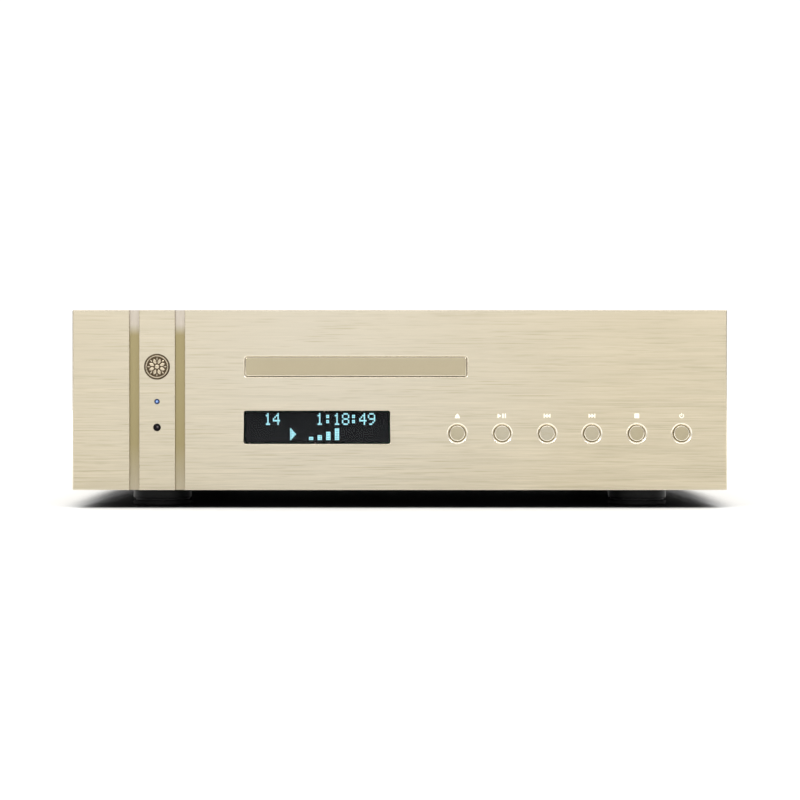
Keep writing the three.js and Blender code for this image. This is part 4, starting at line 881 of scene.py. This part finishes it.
base_low, base_high = low("base_pan"), high("base_pan")
BASE_TOP = base_low.z + 2
base = plate("base_pan", 1.0, (base_low.z, BASE_TOP), BLACK_STEEL)
walls = []
for s in (-1, 1):
    x0, x1 = sorted((s * base_high.x, s * (base_high.x - 2)))
    wall_low, wall_high = (x0, base_low.y + 0.2, base_low.z + 0.3), (x1, base_high.y - 2.3, base_high.z)
    walls.append(block(wall_low, wall_high, BLACK_STEEL))
carve(fuse(base, *walls), vent_cutters(BASE_VENTS, base_low.z, BASE_TOP, BLACK_STEEL, BLACK_STEEL))
piece(base, "base_tray", "base_pan")

for corner in ("front_left", "front_right", "rear_left", "rear_right"):
    node = f"foot_{corner}"
    at, r, top = centre(node), span(node).x / 2, high(node).z
    foot = lathe(
        [(7.0, 0.9), (r - 3.4, 0.9), (r - 3.0, 0.0), (r - 1.2, 0.0), (r - 0.35, 0.3), (r, 1.0), (r, 3.2),
         (r - 0.3, 3.6), (r - 1.5, 3.65), (r - 1.5, 4.75), (r - 0.35, 4.8), (r, 5.2), (r, top - 1.1),
         (r - 0.3, top - 0.35), (r - 1.0, top)],
        [RUBBER] * 8 + [BLACK_PLASTIC] + [FOOT_SHELL] * 5, upright, (at.x, at.y), 96)
    piece(foot, f"foot_body_{corner}", node)


# --- disc tray

spindle = centre("turntable")
tray_low, tray_high = low("disc_tray"), high("disc_tray")
RIM, WELL, INNER_WELL = tray_high.z, tray_high.z - 2.4, tray_high.z - 3.6
PLATE_Z, NOTCH_Z = tray_low.z + 3.4, 92.6
WELL_RADIUS, INNER_RADIUS, NOTCH_RADIUS, NOTCH_X = 60.8, 40.6, 13, 64
SLACK = 0.06  # keeps the tray's slab off the planes of the CAD node's own sides


def tray_recess(radius, floor, top=RIM, aside=0, sides=120):
    profile = [(radius - 0.5, floor), (radius - 0.15, floor + 0.1), (radius, floor + 0.45),
               (radius, top - 0.5), (radius + 1.0, top + 0.5)]
    return lathe(profile, TRAY_PLASTIC, at=(spindle.x + aside, spindle.y), sides=sides)


tray = slab([(tray_low[a] + tray_high[a]) / 2 for a in (0, 1)],
            [tray_high[a] - tray_low[a] - SLACK for a in (0, 1)], 1.2, (PLATE_Z, RIM), TRAY_PLASTIC, edge=0.6)
WINDOW_HALF, WINDOW_FRONT, WINDOW_CORNER = 27.05, -18.05, 12
window_end = tray_high.y - spindle.y + 10
tray_window = tile(
    (spindle.x, spindle.y + (WINDOW_FRONT + window_end) / 2), (2 * WINDOW_HALF, window_end - WINDOW_FRONT),
    WINDOW_CORNER, [(tray_low.z - 1, 0), (INNER_WELL - 0.5, 0), (INNER_WELL + 0.5, -1.0), (RIM + 1, -1.0)],
    TRAY_PLASTIC, steps=10)
notches = together([tray_recess(NOTCH_RADIUS, NOTCH_Z, aside=s * NOTCH_X, sides=56) for s in (-1, 1)])
carve(tray, tray_recess(WELL_RADIUS, WELL), tray_recess(INNER_RADIUS, INNER_WELL, WELL), notches, tray_window)
below = block((tray_low.x - 1, tray_low.y - 1, tray_low.z - 1),
              (tray_high.x + 1, tray_high.y + 1, PLATE_Z + 0.4), TRAY_PLASTIC)
runners = boolean("INTERSECT", from_node("disc_tray", TRAY_PLASTIC), [below])
piece(fuse(tray, runners), "tray_bed", "disc_tray", "tray")

front, back = depths("tray_door", FACE_Y)
door_bar = tile(
    (door.x, door.z), (door_size.x, door_size.z), 1.2,
    [(front, 0.3), (front + 0.09, 0.09), (front + 0.3, 0), (back - 0.3, 0), (back, 0.3)],
    [POLISHED, POLISHED, SATIN_GOLD, SATIN_GOLD], on_front, caps=(SATIN_GOLD, SATIN_GOLD))
piece(door_bar, "door_bar", "tray_door", "tray")


# --- rear panel and sockets

rear_low, rear_high = low("rear_panel"), high("rear_panel")
xlr = {name: centre(f"xlr_jack_{name}") for name in ("left", "right")}
phono = {name: centre(name) for name in ("rca_jack_left", "rca_jack_right", "coaxial_jack")}
optical, inlet = centre("optical_jack"), centre("power_inlet")
optical_at, inlet_at = (optical.x, optical.z), (inlet.x, inlet.z)
JACK_Z = optical.z
SHEET = span("rear_panel").y


def rear_slab(at, size, corner, ends, material=BLACK_PLASTIC, edge=0.3):
    return slab(at, size, corner, ends, material, on_rear, edge)


def rear_lathe(at, profile, bands, sides):
    return lathe(profile, bands, on_rear, (at.x, JACK_Z), sides)


def rear_hole(at, radius, sides):
    return rear_lathe(at, [(radius, -SHEET - 1), (radius, 1)], BLACK_STEEL, sides)


rear = plate("rear_panel", 0.8, (-SHEET, 0), BLACK_STEEL, on_rear, (0, 2), 0.3)
rear_holes = [rear_hole(at, 12.0, 48) for at in xlr.values()]
rear_holes += [rear_hole(at, 4.45, 32) for at in phono.values()]
rear_holes += [rear_slab(at, opening, 0.4, (-SHEET - 1, 1), BLACK_STEEL)
               for at, opening in ((optical_at, (10, 10)), (inlet_at, (27.6, 56.6)))]
carve(rear, together(rear_holes))
piece(rear, "rear_sheet", "rear_panel")

rear_screws = [round_screw((x, z), on_rear, 1.7, 3.0, 1.65)
               for x in (rear_low.x + 7, -110, 60, rear_high.x - 7)
               for z in (rear_low.z + 6, rear_high.z - 6)]
rear_screws += [round_screw((at.x + s * 10.2, JACK_Z + s * 12.6), on_rear, 2.9, 1.9, 1.2)
                for at in xlr.values() for s in (-1, 1)]
rear_screws.append(round_screw((optical.x - 9, JACK_Z), on_rear, 1.5, 2.0, 1.45))
piece(together(rear_screws), "rear_screws")

RINGS = {"rca_jack_left": WHITE_PLASTIC, "rca_jack_right": RED_PLASTIC, "coaxial_jack": ORANGE_PLASTIC}
for name, at in phono.items():
    deep, out = depths(name, REAR_Y)
    shell = rear_lathe(
        at, [(3.3, 1.0), (3.3, out - 0.2), (3.45, out), (4.0, out), (4.15, out - 0.25), (4.15, 2.7),
             (5.6, 2.6), (6.1, 2.3), (6.1, 1.5), (7.0, 1.4), (7.0, 0.1), (4.15, 0.1), (4.15, -2.1),
             (6.4, -2.1), (6.4, -4.3), (3.55, -4.3), (3.55, deep), (1.9, deep), (1.9, 1.0)], GOLD_PLATE, 48)
    piece(shell, f"{name}_shell", name)
    core = rear_lathe(
        at, [(2.0, 0.6), (2.0, 0.9), (3.28, 1.2), (3.28, out - 1.4), (3.0, out - 1.1), (2.0, out - 1.1),
             (1.75, out - 1.3), (1.75, 1.4), (0.9, 1.2)], RINGS[name], 40)
    piece(core, f"{name}_core", slot="white_plastic")

PIN_CIRCLE = 4.6
for name, at in xlr.items():
    node = f"xlr_jack_{name}"
    flange = plate(node, 3.0, (0.1, 2.1), STEEL, on_rear, (0, 2))
    body = fuse(flange, pole(11.6, (depths(node, REAR_Y)[0], 1.2), STEEL, on_rear, (at.x, JACK_Z), sides=64))
    carve(body, rear_lathe(at, [(9.6, -14), (9.6, 1.6), (10.2, 2.4)], [BLACK_PLASTIC, STEEL], 64))
    piece(body, f"xlr_shell_{name}", node)
    pins = [pole(1.2, (-14.5, -2), GOLD_PLATE, on_rear,
                 (at.x + PIN_CIRCLE * math.cos(a), JACK_Z + PIN_CIRCLE * math.sin(a)), 0.5, 20)
            for a in map(math.radians, (210, 330, 90))]
    piece(together(pins), f"xlr_pins_{name}", slot="gold_plate")
    latch = rear_slab((at.x, JACK_Z + 11.0), (6.4, 3.6), 0.8, (1.9, 3.2), STEEL, 0.35)
    piece(latch, f"xlr_latch_{name}", slot="steel")

housing = rear_slab(optical_at, (13, 13), 0.5, (depths("optical_jack", REAR_Y)[0], -2.1))
nose = rear_slab(optical_at, (9.6, 9.6), 0.7, (-3, 1.4))
port = rear_slab(optical_at, (7.6, 7.6), 1.4, (-8, 3), edge=0.2)
piece(carve(fuse(housing, nose), port), "optical_port", "optical_jack")
shutter = rear_slab(optical_at, (7.2, 7.2), 1.2, (-1.2, -0.4), GREY_PLASTIC, 0.25)
piece(shutter, "optical_shutter", slot="grey_plastic")

FUSE_SIZE = (20.4, 8.8)
fuse_at = (inlet.x, low("fuse_drawer").z + FUSE_SIZE[1] / 2)
SOCKET_Z = inlet.z - 15
moulding = fuse(plate("power_inlet", 2.0, (0.1, 2.6), BLACK_PLASTIC, on_rear, (0, 2), 0.5),
                rear_slab(inlet_at, (27, 56), 0.6, (depths("power_inlet", REAR_Y)[0], 1.2)))


def six_sided(inset):
    """The mains socket's outline: a rectangle with two cut corners."""
    w, h, c = 11.3, 8.2, 4.2
    return inset_polygon([(inlet.x + u, SOCKET_Z + v) for u, v in
                          ((-w, -h), (w, -h), (w, h - c), (w - c, h), (-w + c, h), (-w, h - c))], inset)


socket_cut = prism(six_sided, [(-16, 0), (2.2, 0), (3.0, -0.8)], BLACK_PLASTIC, on_rear)
fuse_cut = rear_slab(fuse_at, (FUSE_SIZE[0] + 0.6, FUSE_SIZE[1] + 0.6), 0.5, (-22, 3.2), edge=0.1)
rocker_cut = rear_slab((inlet.x, centre("power_rocker").z), (20.0, 13.6), 0.6, (-10, 3.2), edge=0.1)
carve(moulding, together([socket_cut, fuse_cut, rocker_cut]))
piece(moulding, "inlet_moulding", "power_inlet")
blades = [rear_slab((inlet.x + dx, SOCKET_Z + dz), (2.0, 4.0), 0.4, (-16.4, -3), STEEL, 0.5)
          for dx, dz in ((-7, -1), (7, -1), (0, 3))]
piece(together(blades), "inlet_blades", slot="steel")
inlet_screws = [round_screw((inlet.x + s * 18.6, inlet.z), on_rear, 1.6, 2.4, 1.55) for s in (-1, 1)]
piece(together(inlet_screws), "inlet_screws")

drawer = rear_slab(fuse_at, FUSE_SIZE, 0.6, depths("fuse_drawer", REAR_Y), edge=0.35)
grip = rear_slab((inlet.x, fuse_at[1] + 4.2), (10, 3.2), 0.4, (1.5, 3.6), edge=0.1)
piece(carve(drawer, grip), "fuse_carrier", "fuse_drawer", "fuse_drawer")

rocker = bake(bevelled(from_node("power_rocker", BLACK_PLASTIC), 0.5, 2, 30))
piece(rocker, "rocker_cap", "power_rocker", "power_rocker", smooth=40)


# --- print on the rear panel

PRINT_ENDS = (-0.02, 0.03)
BRACKET_Z = JACK_Z + 24


def print_shape(outline):
    return prism(lambda _: outline, [(w, 0) for w in PRINT_ENDS], PRINT_GREY, on_rear)


def print_line(a, b, width=0.5):
    (x0, x1), (z0, z1) = map(sorted, zip(a, b))
    x0, x1, z0, z1 = x0 - width / 2, x1 + width / 2, z0 - width / 2, z1 + width / 2
    return print_shape([(x0, z0), (x1, z0), (x1, z1), (x0, z1)])


def print_ring(at, radius, width=0.5, sides=40):
    w0, w1 = PRINT_ENDS
    corners = ((radius, w0), (radius, w1), (radius - width, w1), (radius - width, w0))
    rings = [points(on_rear, circle(r, sides, at), w) for r, w in corners]
    return solid(rings, [PRINT_GREY] * 4, closed=True)


def bracket(x0, x1, z=BRACKET_Z, drop=3.0):
    """A line that gathers sockets, with a short tick at each end and an arrow in its middle."""
    middle = (x0 + x1) / 2
    lines = [((x0, z), (middle - 4, z)), ((middle + 4, z), (x1, z)), ((x0, z - drop), (x0, z - 0.8)),
             ((x1, z - drop), (x1, z - 0.8))]
    arrow = print_shape([(middle - 2.2, z - 1.3), (middle + 2.2, z - 1.3), (middle, z + 2.2)])
    return [print_line(a, b) for a, b in lines] + [arrow]


printed = bracket(xlr["left"].x - 13, xlr["right"].x + 13)
printed += bracket(phono["rca_jack_left"].x - 8, phono["rca_jack_right"].x + 8)
printed += bracket(phono["coaxial_jack"].x - 8, optical.x + 8)
printed += [print_ring((at.x, JACK_Z), 8.6) for at in phono.values()]
printed += [print_ring((at.x, JACK_Z - 20), 1.6, 0.45, 24) for at in xlr.values()]
piece(together(printed), "rear_print")


# --- CAD nodes that stay: finish and softened edges

FINISHES = {
    "black_plastic": BLACK_PLASTIC, "grey_plastic": GREY_PLASTIC, "white_plastic": WHITE_PLASTIC,
    "steel": STEEL, "clear_lens": CLEAR_LENS, "rubber": RUBBER, "winding": WINDING,
}
UP, FORWARDS = (2, 1), (1, -1)  # the axis that a board's component side faces along, and which way
BOARDS = {"control_board": UP, "power_board": UP, "output_board": UP, "button_board": FORWARDS,
          "indicator_board": FORWARDS, "display_module": FORWARDS}
for node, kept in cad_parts.items():
    if kept.hide_render:
        continue
    material = circuit_board(node, *BOARDS[node]) if node in BOARDS else FINISHES[slot_of(node)]
    kept.data.materials[0] = material
    without_custom_normals(kept.data)
    welded(bevelled(welded(kept, MERGE), 0.15, 1, 50), 20 * MERGE)


# --- floor, light and camera

floor = linked(bpy.data.meshes.new("floor"))
paper = bmesh.new()
bmesh.ops.create_grid(paper, x_segments=8, y_segments=8, size=12)
paper.to_mesh(floor.data)
paper.free()
floor.data.materials.append(PAPER)

WHITE = (1, 1, 1, 1)
HORIZON_LIGHT, ZENITH_LIGHT, ZENITH_RISE, BACKDROP = 0.34, 0.85, 0.7, 1.1


def studio_sky():
    """A world that lights the player more from above, and that the camera sees as an even white."""
    world = bpy.data.worlds.new("studio")
    world.use_nodes = True
    nodes, links = world.node_tree.nodes, world.node_tree.links
    light, shown = nodes["Background"], nodes.new("ShaderNodeBackground")
    up, rise = nodes.new("ShaderNodeSeparateXYZ"), nodes.new("ShaderNodeMapRange")
    links.new(nodes.new("ShaderNodeTexCoord").outputs["Generated"], up.inputs[0])
    links.new(up.outputs["Z"], rise.inputs["Value"])
    for socket, value in zip(rise.inputs[1:5], (0.0, ZENITH_RISE, HORIZON_LIGHT, ZENITH_LIGHT)):
        socket.default_value = value
    links.new(rise.outputs["Result"], light.inputs["Strength"])
    light.inputs["Color"].default_value = shown.inputs["Color"].default_value = WHITE
    shown.inputs["Strength"].default_value = BACKDROP
    choice = nodes.new("ShaderNodeMixShader")
    sources = (nodes.new("ShaderNodeLightPath").outputs["Is Camera Ray"], light.outputs[0], shown.outputs[0])
    for source, socket in zip(sources, choice.inputs):
        links.new(source, socket)
    links.new(choice.outputs[0], nodes["World Output"].inputs["Surface"])
    return world


def softbox(name, at, target, extent, power):
    """A rectangular lamp that faces a target. at, target and extent are in metres, power in watts."""
    light = bpy.data.lights.new(name, "AREA")
    light.shape, light.size, light.size_y, light.energy = "RECTANGLE", *extent, power
    lamp = bpy.data.objects.new(name, light)
    bpy.context.scene.collection.objects.link(lamp)
    lamp.location = at
    lamp.rotation_euler = (Vector(target) - Vector(at)).to_track_quat("-Z", "Y").to_euler()


bpy.context.scene.world = studio_sky()
PANEL_SPOT = (0, -0.18, 0.07)
softbox("overhead", (0, 0, 1.9), (0, 0, 0), (2.4, 2.4), 21)
softbox("front", (0, -2.6, 1.3), PANEL_SPOT, (3.0, 1.4), 26)
for aside in (-1, 1):
    softbox("key", (aside * 1.15, -1.7, 1.25), PANEL_SPOT, (0.28, 0.28), 5)
    softbox("side", (aside * 2.5, 0.2, 1.25), (0, 0, 0.07), (1.6, 1.2), 14)
softbox("rear", (0, 2.6, 1.3), (0, 0.18, 0.07), (2.6, 1.2), 16)

VIEW_DISTANCE = 1.3  # metres, from the panel's face to the camera
VIEW_ASIDE = 0.00016  # metres; the panel sits this little off the picture's middle
camera = bpy.data.objects.new("camera", bpy.data.cameras.new("camera"))
bpy.context.scene.collection.objects.link(camera)
camera.location = (VIEW_ASIDE, FACE_Y * MM - VIEW_DISTANCE, panel_middle[1] * MM)
camera.rotation_euler = (math.pi / 2, 0, 0)
camera.data.sensor_width, camera.data.lens = 36, 89.1
bpy.context.scene.camera = camera
bpy.context.scene.view_settings.view_transform = "Standard"
